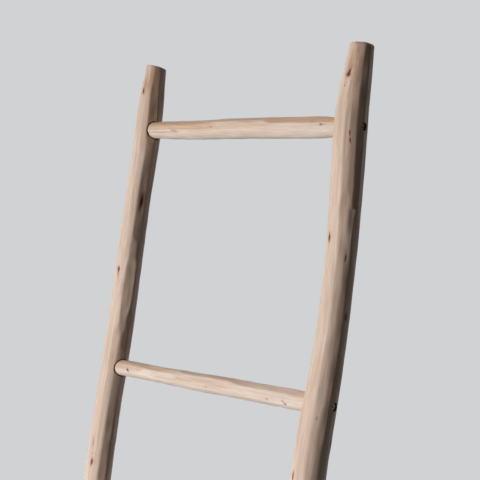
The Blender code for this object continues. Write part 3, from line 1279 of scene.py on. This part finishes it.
@dataclass
class Rung:
    """A cross bar, shaved along its length and pared round where it goes into the stiles."""

    number: int
    shaving: Shaving
    chosen: Sequence[Stroke] = ()
    marks: Sequence[Mark] = ()
    joints: Sequence[Joint] = ()
    window: Window | None = None
    taper_length: float = 0.032
    neck_search: float = 0.13  # the CAD's necks are further than this from the rung's middle
    neck_clear: float = 0.009  # between a neck and the nearest section
    tenon_bevel: float = 0.0010
    tenon_rings: int = 8
    swell_haste: float = 0.8  # how fast the rung swells out behind its neck; 0 is evenly
    paring: float = 0.006  # how deep the short paring cuts round a tenon are, in radii
    paring_cuts: int = 9  # how many there are round it
    paring_twist: float = 60.0  # how fast they run round it, in radians for each metre
    pilot_point: float = 0.002  # length of the pilot hole's pointed end
    pilot_flare: float = 0.0004  # how far its mouth is bevelled
    around: int = 72
    step: float = 0.0022

    def __post_init__(self) -> None:
        """Reads the rung's line, thickness and ends from its CAD node."""
        self.node = RUNG_NAMES[self.number]
        self.basis = Basis(*(np.array(v, float) for v in ((0, -1, 0), (0, 0, 1), (1, 0, 0))))
        self.low, self.high = (float(corner[0]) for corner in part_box(self.node))
        points = mesh_points(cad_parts[self.node].data)
        radii = np.hypot(*(points[:, 1:] - self.joints[0].axis()[1:]).T)
        wide = points[radii > CAD_TENON_RADIUS - 0.05 * MM, 0]
        middle = (self.low + self.high) / 2
        necks = wide[np.abs(wide - middle) > self.neck_search]
        left = np.unique(np.round(necks[necks < middle], 5))
        right = np.unique(np.round(necks[necks > middle], 5))
        # The second station from each end is where the tenon meets the shoulder.
        self.shoulders = (float(left[1]), float(right[-2]))
        first, last = self.shoulders
        clear = self.neck_clear
        core = Core.measure(self.node, self.basis, first + clear, last - clear)
        ends = (self.low, self.high)
        cuts = (self.chosen, self.marks, self.window)
        self.pole = Pole(core, self.shaving, *ends, True, *cuts)

    def build(self, materials: Sequence[bpy.types.Material]) -> bpy.types.Object:
        """Builds the rung with its tenons and pilot holes.

        Args:
            materials: the finishes in the order of Surface.

        Returns:
            The finished object.
        """
        basis = self.basis
        left, right = self.shoulders
        body = np.linspace(left, right, round((right - left) / self.step))
        neck = np.linspace(self.low + self.tenon_bevel, left, self.tenon_rings)[:-1]
        other = np.linspace(right, self.high - self.tenon_bevel, self.tenon_rings)[1:]
        places = np.concatenate([neck, body, other])
        angle = np.linspace(0.0, 2 * math.pi, self.around, endpoint=False)
        grid_along = np.repeat(places[:, None], self.around, axis=1)
        grid_angle = np.repeat(angle[None, :], len(places), axis=0)
        carved = self.pole.carve(grid_along, grid_angle)["radius"]
        carved -= self.pole.dent(grid_along, grid_angle)
        # From the thin neck at each end the rung swells out, fast at first.
        from_neck = (grid_along - left) / self.taper_length
        swell = np.minimum(from_neck, (right - grid_along) / self.taper_length)
        swell = np.clip(swell, 0.0, 1.0)
        swell = swell * (1 + self.swell_haste - self.swell_haste * swell)
        axis_y, axis_z = self.joints[0].axis()[1:]
        centre_first, centre_second, _ = self.pole.core.at(grid_along)
        x_off = centre_first + axis_y
        y_off = centre_second - axis_z
        tenons = [joint.tenon_radius for joint in self.joints]
        tenon = np.where(grid_along < (left + right) / 2, *tenons)
        cuts = self.paring_cuts * grid_angle + self.paring_twist * grid_along
        pared = (1 + np.cos(cuts)) / 2
        pared = tenon * (1.0 - self.paring * pared)
        radius = pared + (carved - pared) * swell
        first = -axis_y + x_off * swell + radius * np.cos(grid_angle)
        second = axis_z + y_off * swell + radius * np.sin(grid_angle)
        skin = [basis.join(first[k], second[k], places[k]) for k in range(len(places))]

        def plain(x: float, r: float) -> Array:
            """A round ring about the tenon's axis.

            Args:
                x: its place across the rack.
                r: its radius.

            Returns:
                The ring's points.
            """
            y = -axis_y + r * np.cos(angle)
            z = axis_z + r * np.sin(angle)
            return basis.join(y, z, np.full(self.around, x))

        hole = self.joints[0].screw_hole_radius
        ends = []
        for joint, end, into in zip(self.joints, (self.low, self.high), (1, -1)):
            deep = joint.end_of(joint.screw, joint.inwards) + joint.inwards * joint.clearance
            pilot_hole = (
                (deep, hole * 0.5),
                (deep - into * self.pilot_point, hole),
                (end + into * self.pilot_flare, hole),
                (end, hole + self.pilot_flare),
                (end, joint.tenon_radius - self.tenon_bevel),
            )
            ends.append([plain(x, r) for x, r in pilot_hole])
        rings = ends[0] + skin + ends[1][::-1]
        obj = closed_loft(f"{self.node}_shaved_pole", rings, basis.flip)
        kinds = np.full(len(obj.data.polygons), Surface.SHAVED.value)
        cut_end = 1 + len(ends[0]) * self.around
        kinds[:cut_end] = Surface.CROSSCUT.value
        kinds[-cut_end:] = Surface.CROSSCUT.value
        finish_faces(obj.data, materials, kinds)
        self.pole.dress(obj.data)
        crisp(obj.data)
        return obj


@dataclass
class Screw:
    """A wood screw: cross recess, rounded head, plain neck, thread and point."""

    joint: Joint
    head_radius: float = 0.0045
    head_height: float = 0.0030
    core_radius: float = 0.00150
    crest_radius: float = 0.00215
    pitch: float = 0.0022
    neck: float = 0.012
    neck_over: float = 0.0003  # how much thicker than the core the plain neck is
    neck_fillet: float = 0.0005  # how far under the head it is thicker still
    neck_run_out: float = 0.002  # over which it thins to the core, above the thread
    tip: float = 0.007
    tip_over: float = 0.00012  # what is left of the core at the tip
    point_radius: float = 0.00008
    thread_fade: float = 0.004  # the length over which the thread grows and dies away
    thread_steps: int = 6  # rings in each turn of the thread
    head_dome: float = 0.0009
    dome_steps: int = 6
    head_edge: float = 0.0003  # how far the head's lower rim is rounded
    flat_top: float = 0.68  # how much of the head's radius is flat
    recess_depth: float = 0.0019
    recess_arm: float = 0.0024
    recess_waist: float = 0.0008
    around: int = 32

    def build(self, steel: bpy.types.Material) -> bpy.types.Object:
        """Builds the screw in its hole.

        Args:
            steel: its finish.

        Returns:
            The finished object.
        """
        joint = self.joint
        inwards = joint.inwards
        axis = joint.axis()
        top = joint.end_of(joint.screw, -inwards)
        point = joint.end_of(joint.screw, inwards)
        length = abs(point - top)
        turn = np.linspace(0.0, 2 * math.pi, self.around, endpoint=False)

        def ring(depth: float, radius: Array | float) -> Array:
            """One ring of the screw.

            Args:
                depth: how far it is from the head's top.
                radius: its radius.

            Returns:
                The ring's points.
            """
            r = np.broadcast_to(radius, turn.shape)
            x = np.full(turn.shape, top + inwards * depth)
            angle = turn * inwards
            return np.stack([x, axis[1] + r * np.cos(angle), axis[2] + r * np.sin(angle)], 1)

        twist = turn + 0.5 * joint.number + 0.3
        arms = np.clip(np.abs(np.cos(2 * twist)) * 2.6 - 1.35, 0.0, 1.0)
        cross = self.recess_waist + (self.recess_arm - self.recess_waist) * ease(arms)
        recess = (  # depth and share of the cross, from its floor up
            (self.recess_depth, 0.35),
            (self.recess_depth * 0.8, 0.72),
            (0.00025, 0.98),
            (0.0001, 1.06),
        )
        rings = [ring(depth, cross * share) for depth, share in recess]
        rings.append(ring(0.0, self.head_radius * self.flat_top))
        for k in range(1, self.dome_steps + 1):
            bend = math.radians(90 / self.dome_steps * k)
            share = self.flat_top + (1 - self.flat_top) * math.sin(bend)
            rings.append(ring(self.head_dome * (1 - math.cos(bend)), self.head_radius * share))
        under = self.head_height
        start = under + self.neck
        plain = self.core_radius + self.neck_over
        rings += [
            ring(under - self.head_edge, self.head_radius),
            ring(under, self.head_radius - self.head_edge),
            ring(under, self.core_radius + 2 * self.neck_over),
            ring(under + self.neck_fillet, plain),
            ring(start - self.neck_run_out, plain),
        ]
        steps = round((length - start) / (self.pitch / self.thread_steps))
        for k in range(1, steps):
            depth = start + (length - start) * k / steps
            phase = (depth / self.pitch - turn / (2 * math.pi)) % 1.0
            crest = np.clip(1.0 - np.abs(phase - 0.5) * 4.2, 0.0, 1.0)
            grown = min(1.0, (depth - start) / self.thread_fade)
            grown *= min(1.0, (length - depth) / self.thread_fade)
            taper = min(1.0, (length - depth) / self.tip) ** 0.8
            core = self.core_radius * taper + self.tip_over
            proud = (self.crest_radius - self.core_radius) * crest * grown
            rings.append(ring(depth, core + proud))
        rings.append(ring(length, self.point_radius))
        obj = closed_loft(f"{joint.screw}_zinc_steel", rings)
        obj.data.materials.append(steel)
        crisp(obj.data)
        return obj


# --------------------------------------------------------------------------------------------
# The rack
# --------------------------------------------------------------------------------------------


def scattered_marks(seed: int, count: int, low: float, high: float) -> list[Mark]:
    """Small pin knots and stains strewn over a stretch of a pole.

    Args:
        seed: what makes the scatter the same each time.
        count: how many there are.
        low: where the stretch begins, from the reference end.
        high: where it ends.

    Returns:
        The marks, spread evenly along the stretch and turned from one to the next.
    """
    random = np.random.default_rng(seed)
    turn = random.uniform(0, 360)
    made = []
    for k in range(count):
        place = low + (high - low) * (k + random.uniform(0.15, 0.85)) / count
        turn += random.uniform(95, 200)
        kind = (MarkKind.PIN_KNOT, MarkKind.KNOT, MarkKind.STAIN)[random.integers(0, 3)]
        width = random.uniform(0.7, 1.9)
        length = width * random.uniform(1.3, 3.4)
        slant = random.uniform(-14, 14)
        made.append(Mark(place, (turn + 180) % 360 - 180, width, length, kind, slant))
    return made


# Strokes: start and end from the stile's top, angle, half width, run in, run out, drift, tone and
# softness of the ridge. Angle 0 faces right, -90 the front. The tones are partly painted light
# and shade: most facets that face the softbox are set paler, those turned from it tan and darker.
LEFT_STROKES = (
    Stroke(-0.02, 0.72, -28, 15, 0.05, 0.05, 0, -0.1, 0.0010),
    Stroke(-0.02, 0.72, -87, 22, 0.05, 0.05, 4, 0.3, 0.0018),
    Stroke(-0.02, 0.72, -117, 19, 0.05, 0.05, 0, 0.2, 0.0015),
    Stroke(-0.02, 0.15, -67, 18, 0.05, 0.04, 14, -0.3, 0.0010),
    Stroke(0.11, 0.28, -60, 18, 0.04, 0.02, 0, 0.2, 0.0008),
    Stroke(0.26, 0.40, -64, 17, 0.02, 0.02, -3, 0.3, 0.0008),
    Stroke(0.385, 0.72, -58, 19, 0.02, 0.05, -10, 0.1, 0.0008),
    Stroke(-0.02, 0.72, 19, 20, 0.05, 0.05, 4, -0.2, 0.0010),
    Stroke(-0.02, 0.10, 6, 19, 0.05, 0.04, 10, -0.2, 0.0008),
    Stroke(0.26, 0.30, 6, 20, 0.02, 0.02, 0, -0.2, 0.0008),
    Stroke(0.355, 0.40, 0, 20, 0.02, 0.02, 0, -0.2, 0.0008),
    Stroke(-0.02, 0.72, 46, 19, 0.05, 0.05, 0, 0.0, 0.0010),
    Stroke(-0.02, 0.100, 8, 23, 0.05, 0.04, 6, -0.2, 0.0008),
    Stroke(-0.02, 0.135, -26, 25, 0.05, 0.035, 8, -0.7, 0.0005),
    Stroke(0.100, 0.275, 11, 23.5, 0.04, 0.02, 0, -0.2, 0.0008),
    Stroke(0.110, 0.268, -20, 24.0, 0.040, 0.014, 2, -0.3, 0.0004),
    Stroke(0.280, 0.402, -31, 25, 0.020, 0.060, -5, 0.0, 0.0004),
    Stroke(0.378, 0.432, -15, 19.5, 0.024, 0.018, 0, -0.7, 0.0004),
    Stroke(0.404, 0.72, -23, 19.5, 0.030, 0.050, -14, -0.2, 0.0005),
    # These two, on the lit side of the top few centimetres, are tan and darker: partly the wood's
    # own colour, partly painted shade for the light falling off towards the top.
    Stroke(-0.02, 0.080, -87, 23.4, 0.05, 0.05, 0, -1.0, 0.0010),
    Stroke(-0.02, 0.066, -66, 19.6, 0.05, 0.04, 8, -1.0, 0.0008),
)
RIGHT_STROKES = (
    Stroke(0.180, 0.300, -47, 19, 0.020, 0.040, 0, -0.2, 0.0010),
    Stroke(-0.02, 0.72, -88, 21, 0.05, 0.05, 10, 0.2, 0.0015),
    Stroke(-0.02, 0.72, -118, 19, 0.05, 0.05, 0, 0.1, 0.0015),
    Stroke(-0.02, 0.222, -64, 17, 0.05, 0.012, 18, -0.3, 0.0008),
    Stroke(-0.02, 0.216, -41, 17, 0.05, 0.008, 12, -0.3, 0.0006),
    Stroke(-0.02, 0.212, -20, 18, 0.05, 0.004, 8, -0.5, 0.0006),
    Stroke(-0.02, 0.72, 17, 20, 0.05, 0.05, 4, -0.3, 0.0010),
    Stroke(-0.02, 0.72, 47, 19, 0.05, 0.05, 0, 0.0, 0.0010),
    Stroke(0.205, 0.72, -80, 19, 0.020, 0.050, 4, 0.2, 0.0010),
    Stroke(0.190, 0.72, -51, 20.5, 0.024, 0.050, 3, 0.0, 0.0014),
    Stroke(0.240, 0.72, -29, 20.5, 0.024, 0.050, 0, -0.3, 0.0014),
    Stroke(0.205, 0.420, 2, 20, 0.020, 0.030, 0, -0.4, 0.0010),
    Stroke(0.380, 0.72, -3, 20, 0.040, 0.050, -6, -0.4, 0.0010),
    Stroke(0.2095, 0.262, -30, 22, 0.0015, 0.022, -2, 0.3, 0.0005),
    # These two, on the lit side of the top few centimetres, are tan and darker: partly the wood's
    # own colour, partly painted shade for the light falling off towards the top.
    Stroke(-0.02, 0.080, -88, 22.6, 0.05, 0.05, 0, -0.8, 0.0010),
    Stroke(-0.02, 0.070, -64, 18.2, 0.05, 0.04, 9, -0.8, 0.0008),
    Stroke(0.402, 0.470, -48, 22.6, 0.030, 0.014, 0, 0.5, 0.0005),
)
LEFT_MARKS = (
    Mark(0.041, -93, 1.6, 4.2, MarkKind.PIN_KNOT, 14),
    Mark(0.204, -20, 2.6, 10.0, MarkKind.KNOT, -4),
    Mark(0.3055, -89, 2.1, 3.6, MarkKind.KNOT, 12),
    Mark(0.313, -91, 1.1, 4.0, MarkKind.STAIN, 12),
    Mark(0.5875, -79, 2.1, 4.8, MarkKind.KNOT, -6),
    Mark(0.559, -86, 1.4, 6.0, MarkKind.STAIN, 6),
)
RIGHT_MARKS = (
    Mark(0.0425, -89, 3.2, 3.0, MarkKind.KNOT, -12),
    Mark(0.0385, -87.5, 1.6, 4.0, MarkKind.KNOT, -20),
    Mark(0.0350, -83, 1.6, 4.0, MarkKind.STAIN, -24),
    Mark(0.0575, -97, 0.8, 1.0, MarkKind.PIN_KNOT, 0),
    Mark(0.1165, -53, 1.0, 2.4, MarkKind.PIN_KNOT, 4),
    Mark(0.1265, -50, 1.0, 3.0, MarkKind.PIN_KNOT, 8),
    Mark(0.2095, -9, 4.4, 0.5, MarkKind.NICK, 0),
    Mark(0.2085, -30, 2.4, 0.4, MarkKind.NICK, 0),
    Mark(0.249, -113, 2.8, 5.4, MarkKind.KNOT, 4),
    Mark(0.273, -32, 1.4, 7.0, MarkKind.NICK, -8),
    Mark(0.345, 0, 1.9, 5.6, MarkKind.KNOT, 3),
    Mark(0.4715, -53, 1.1, 1.8, MarkKind.STAIN, 0),
    Mark(0.5015, 28, 2.0, 4.6, MarkKind.KNOT, 0),
    Mark(0.5465, -112, 2.0, 5.5, MarkKind.KNOT, 4),
)
# On a rung the distances are from its left end; angle 0 is the front and 90 the top. The tones
# are partly painted shade and light here too: the top bands are tan and darker, the fronts paler.
TOP_STROKES = (
    Stroke(-0.02, 0.42, -84, 20.5, 0.05, 0.05, 0, 0.4, 0.0012),
    Stroke(-0.02, 0.42, -50, 20.5, 0.05, 0.05, 4, 0.8, 0.0014),
    Stroke(-0.02, 0.42, -16, 20.5, 0.05, 0.05, -3, 0.4, 0.0014),
    Stroke(-0.02, 0.42, 95, 20, 0.05, 0.05, 0, -0.6, 0.0010),
    Stroke(-0.02, 0.165, 18, 20.5, 0.05, 0.03, 0, -0.5, 0.0010),
    Stroke(0.130, 0.270, 27, 21, 0.03, 0.03, 0, 0.0, 0.0008),
    Stroke(0.235, 0.42, 15, 20.5, 0.03, 0.05, 0, 0.2, 0.0008),
    Stroke(-0.02, 0.155, 56, 21, 0.020, 0.030, 0, -0.7, 0.0005),
    Stroke(0.135, 0.262, 67, 22, 0.030, 0.030, 0, -0.7, 0.0005),
    Stroke(0.236, 0.42, 48, 27.5, 0.026, 0.050, 0, -0.9, 0.0004),
)
TOP_MARKS = (
    Mark(0.035, -13, 0.45, 23.0, MarkKind.CHECK),
    Mark(0.069, -5, 1.5, 6.0, MarkKind.STAIN, 4),
    Mark(0.348, 16, 1.0, 1.4, MarkKind.KNOT),
    Mark(0.3545, 16, 0.35, 4.0, MarkKind.CHECK),
    Mark(0.332, 31, 0.9, 1.3, MarkKind.STAIN),
    Mark(0.146, 14, 1.4, 1.0, MarkKind.STAIN),
)
FOURTH_STROKES = (
    Stroke(-0.02, 0.42, -84, 20.5, 0.05, 0.05, 0, 0.4, 0.0012),
    Stroke(-0.02, 0.42, -50, 20.5, 0.05, 0.05, -4, 0.7, 0.0014),
    Stroke(-0.02, 0.42, -16, 20.5, 0.05, 0.05, 3, 0.6, 0.0014),
    Stroke(-0.02, 0.42, 97, 20, 0.05, 0.05, 0, -0.2, 0.0010),
    Stroke(-0.02, 0.085, 24, 21, 0.05, 0.025, 0, -0.2, 0.0008),
    Stroke(0.055, 0.155, 19, 20.5, 0.02, 0.03, 0, 0.7, 0.0006),
    Stroke(0.130, 0.270, 34, 21.5, 0.03, 0.03, 0, 0.2, 0.0008),
    Stroke(0.235, 0.42, 20, 20.5, 0.03, 0.05, 0, 0.3, 0.0008),
    Stroke(-0.02, 0.080, 66, 22, 0.015, 0.025, 0, -0.1, 0.0005),
    Stroke(0.060, 0.160, 57, 21.5, 0.020, 0.030, 0, -0.2, 0.0005),
    Stroke(0.140, 0.250, 76, 22, 0.020, 0.030, 0, -0.3, 0.0006),
    Stroke(0.228, 0.42, 63, 28, 0.045, 0.050, -10, -0.2, 0.0004),
)
FOURTH_MARKS = (
    Mark(0.041, 2, 1.4, 2.6, MarkKind.KNOT, 50),
    Mark(0.350, -22, 1.0, 1.7, MarkKind.KNOT),
    Mark(0.3465, -5, 1.1, 1.7, MarkKind.STAIN),
    Mark(0.318, -13, 1.1, 1.7, MarkKind.STAIN),
    Mark(0.205, -7, 1.4, 1.1, MarkKind.STAIN),
)
RUNG_WINDOW = Window(0.45, 5.0, 98.0)


@dataclass
class LadderRack:
    """The whole rack: two stiles, five rungs and ten screws."""

    stile_wood: ShavedWood = ShavedWood(
        name="drawknife_shaved_hardwood_stile",
        pale="#D3BCAA",
        straw="#C8AD96",
        rosy="#CFB0A2",
        tan="#BE9778",
        fresh="#DCCBBD",
        skin="#A98A72",
        knot="#96492B",
        knot_core="#2C120D",
    )
    rung_wood: ShavedWood = ShavedWood(
        name="drawknife_shaved_hardwood_rung",
        pale="#DCC8B8",
        straw="#D2B49C",
        rosy="#DABBA9",
        tan="#CDA27C",
        fresh="#E6DAD0",
        skin="#B5947A",
        knot="#94492F",
        knot_core="#30110C",
    )
    end_grain: CutEndGrain = CutEndGrain(
        "handsawn_end_grain", pale="#B99877", dark="#8C6A4B", check="#3A2518"
    )
    # Bored faces: the wood's rings and pores in darker colours, which are painted shade inside the
    # mortises, screw holes and counterbores.
    bored_grain_and_shade: CutEndGrain = CutEndGrain(
        "bored_hardwood_painted_shade", pale="#8F6B4B", dark="#5E422C", check="#2A1A10"
    )
    steel: ZincPlatedSteel = ZincPlatedSteel()
    slim_tenon_radius: float = 0.0113  # the fourth rung's left end
    stile_strewn: tuple[int, float, float] = (20, 0.05, 1.75)  # count, and from and to where
    rung_strewn: tuple[int, float, float] = (5, 0.03, 0.36)
    # Strewn marks stay off these fronts: down to where, round which angle, and how far round.
    stile_front: tuple[float, float, float] = (0.62, -45.0, 95.0)
    rung_front: float = 100.0

    def build(self) -> list[bpy.types.Object]:
        """Builds every piece, and puts it in its CAD node's place.

        Returns:
            The pieces.
        """
        materials = {
            slot: [finish.build() for finish in (wood, self.end_grain, self.bored_grain_and_shade)]
            for slot, wood in ((Slot.STILE, self.stile_wood), (Slot.RUNG, self.rung_wood))
        }
        steel = self.steel.build()
        joints = {side: [Joint(side, k) for k in range(len(RUNG_NAMES))] for side in Side}
        joints[Side.LEFT][3] = replace(joints[Side.LEFT][3], tenon_radius=self.slim_tenon_radius)
        basis = self.leaning_basis(joints[Side.LEFT])
        pieces = []
        looks = {
            Side.LEFT: (Shaving(seed=11), LEFT_STROKES, LEFT_MARKS, 21),
            Side.RIGHT: (Shaving(seed=12), RIGHT_STROKES, RIGHT_MARKS, 22),
        }
        tops = {  # slant, bevel width and bevel height
            Side.LEFT: ((-0.08, -0.08), 0.0006, 0.0010),
            Side.RIGHT: ((0.0, 0.0), 0.0015, 0.0017),
        }
        for side, (shaving, strokes, marks, seed) in looks.items():
            strewn = [
                m
                for m in scattered_marks(seed, *self.stile_strewn)
                if m.place > self.stile_front[0]
                or abs((m.angle - self.stile_front[1] + 180) % 360 - 180) > self.stile_front[2]
            ]
            marks = [*marks, *strewn]
            stile = Stile(side, basis, shaving, strokes, marks, joints[side], *tops[side])
            obj = stile.build(materials[Slot.STILE])
            pieces.append(self.placed(obj, stile.node, Slot.STILE))
        chosen = {3: (FOURTH_STROKES, FOURTH_MARKS), 4: (TOP_STROKES, TOP_MARKS)}
        for number in range(len(RUNG_NAMES)):
            strokes, marks = chosen.get(number, ((), ()))
            strewn = scattered_marks(40 + number, *self.rung_strewn)
            if marks:
                strewn = [m for m in strewn if abs(m.angle) > self.rung_front]
            shaving = Shaving(
                seed=30 + number, lanes=9, shortest=0.09, longest=0.24, ripple_mm=0.12
            )
            pair = [joints[Side.LEFT][number], joints[Side.RIGHT][number]]
            window = RUNG_WINDOW if strokes else None
            rung = Rung(number, shaving, strokes, [*marks, *strewn], pair, window)
            obj = rung.build(materials[Slot.RUNG])
            pieces.append(self.placed(obj, rung.node, Slot.RUNG))
        for side in Side:
            for joint in joints[side]:
                obj = Screw(joint).build(steel)
                pieces.append(self.placed(obj, joint.screw, Slot.SCREW))
        return pieces

    @staticmethod
    def leaning_basis(joints: Sequence[Joint]) -> Basis:
        """Finds the stiles' directions: across, towards the wall and up along them.

        Args:
            joints: one stile's joints, from the lowest.

        Returns:
            The directions.
        """
        up = joints[-1].axis() - joints[0].axis()
        up[0] = 0.0
        up /= np.linalg.norm(up)
        across = np.array([1.0, 0.0, 0.0])
        return Basis(across, np.cross(up, across), up)

    @staticmethod
    def placed(obj: bpy.types.Object, node: str, slot: Slot) -> bpy.types.Object:
        """Rides a piece on the rack's one body in place of its CAD node, and reports it.

        Args:
            obj: the piece.
            node: the CAD node that it stands for.
            slot: the material slot that its finish comes from.

        Returns:
            slot: the material slot that its finish comes from; not used.
        """
        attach(obj, ROOT)
        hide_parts(node)
        LOG.info("%s stands for %s: %d faces", obj.name, node, len(obj.data.polygons))
        return obj


# --------------------------------------------------------------------------------------------
# The studio
# --------------------------------------------------------------------------------------------


@dataclass
class Studio:
    """A pale floor, one tall softbox, a weak fill and the camera."""

    floor_radius: float = 4.3
    floor_sides: int = 96
    paper: StudioPaper = StudioPaper()
    backdrop: str = "#D0D2D4"
    fill: str = "#F1F2F4"
    fill_least: float = 0.06  # light from the rack's front right
    fill_most: float = 1.1  # light from its back left
    fill_towards: tuple[float, float, float] = (-0.74, 0.60, 0.30)
    key_place: tuple[float, float, float] = (-1.0, -3.3, 1.35)
    key_aim: tuple[float, float, float] = (0.0, 0.05, 1.12)
    key_size: tuple[float, float] = (0.7, 1.9)
    key_power: float = 23.0
    key_spread: float = 70.0
    key_colour: str = "#FFFDFB"
    camera_distance: float = 1.7435
    camera_bearing: float = 44.95
    camera_drop: float = 0.0311
    camera_heading: float = 45.0
    camera_pitch: float = 3.995
    camera_lens: float = 95.12

    def build(self) -> None:
        """Builds the floor, the softbox, the world and the camera."""
        turn = np.linspace(0.0, 2 * math.pi, self.floor_sides, endpoint=False)
        rings = [
            np.stack([r * np.cos(turn), r * np.sin(turn), np.zeros_like(turn)], 1)
            for r in np.linspace(0.2, 1.0, 8) * self.floor_radius
        ]
        points = np.concatenate(rings)
        faces = loft_faces(len(rings), self.floor_sides)
        faces.append(tuple(reversed(range(self.floor_sides))))
        floor = make_object("studio_floor", points, faces, flip=True)
        floor.data.materials.append(self.paper.build())
        floor.visible_diffuse = False  # the paper throws no light up at the rack
        self.softbox()
        self.world()
        self.camera()
        LOG.info("studio: floor, softbox, fill and the camera")

    def softbox(self) -> None:
        """Hangs the tall softbox at the rack's front left."""
        data = bpy.data.lights.new("key_softbox", "AREA")
        data.shape = "RECTANGLE"
        data.size, data.size_y = self.key_size
        data.energy = self.key_power
        data.color = linear(self.key_colour)[:3]
        data.spread = math.radians(self.key_spread)
        obj = bpy.data.objects.new("key_softbox", data)
        obj.location = self.key_place
        obj.rotation_mode = "QUATERNION"
        way = Vector(self.key_aim) - Vector(self.key_place)
        obj.rotation_quaternion = way.to_track_quat("-Z", "Y")
        bpy.context.scene.collection.objects.link(obj)

    def world(self) -> None:
        """A pale backdrop to look at, and a soft fill that comes mostly from the back left."""
        world = bpy.data.worlds.new("pale_studio")
        bpy.context.scene.world = world
        world.use_nodes = True
        tree = world.node_tree
        seen = tree.nodes["Background"]
        seen.inputs["Color"].default_value = linear(self.backdrop)
        way = add_node(tree, "TexCoord", out="Generated")
        links = {0: way, 1: Vector(self.fill_towards).normalized()}
        facing = add_node(tree, "VectorMath", links, "Value", operation="DOT_PRODUCT")
        links = {"Value": facing, "From Min": 0.0, "From Max": 0.9}
        links |= {"To Min": self.fill_least, "To Max": self.fill_most}
        strength = add_node(tree, "MapRange", links, interpolation_type="SMOOTHSTEP")
        fill = add_node(tree, "Background", {"Color": linear(self.fill), "Strength": strength})
        path = add_node(tree, "LightPath", out="Is Camera Ray")
        both = add_node(tree, "MixShader", {0: path, 1: fill, 2: seen.outputs[0]})
        tree.links.new(both, tree.nodes["World Output"].inputs["Surface"])

    def camera(self) -> None:
        """Looks at the top of the rack from its right front, from about eye height."""
        low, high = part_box(RUNG_NAMES[-1])
        bearing = math.radians(self.camera_bearing)
        away = Vector((math.sin(bearing), -math.cos(bearing), 0.0)) * self.camera_distance
        data = bpy.data.cameras.new("camera")
        data.lens = self.camera_lens
        camera = bpy.data.objects.new("camera", data)
        camera.location = (low + high) / 2 + away - Vector((0.0, 0.0, self.camera_drop))
        pitch, heading = math.radians(90 - self.camera_pitch), math.radians(self.camera_heading)
        camera.rotation_euler = (pitch, 0.0, heading)
        bpy.context.scene.collection.objects.link(camera)
        bpy.context.scene.camera = camera
        bpy.context.scene.view_settings.view_transform = "Standard"


def main() -> None:
    """Builds the studio and the rack."""
    logging.basicConfig(level=logging.INFO, format="%(message)s")
    Studio().build()
    LadderRack().build()


if __name__ == "__main__":
    main()
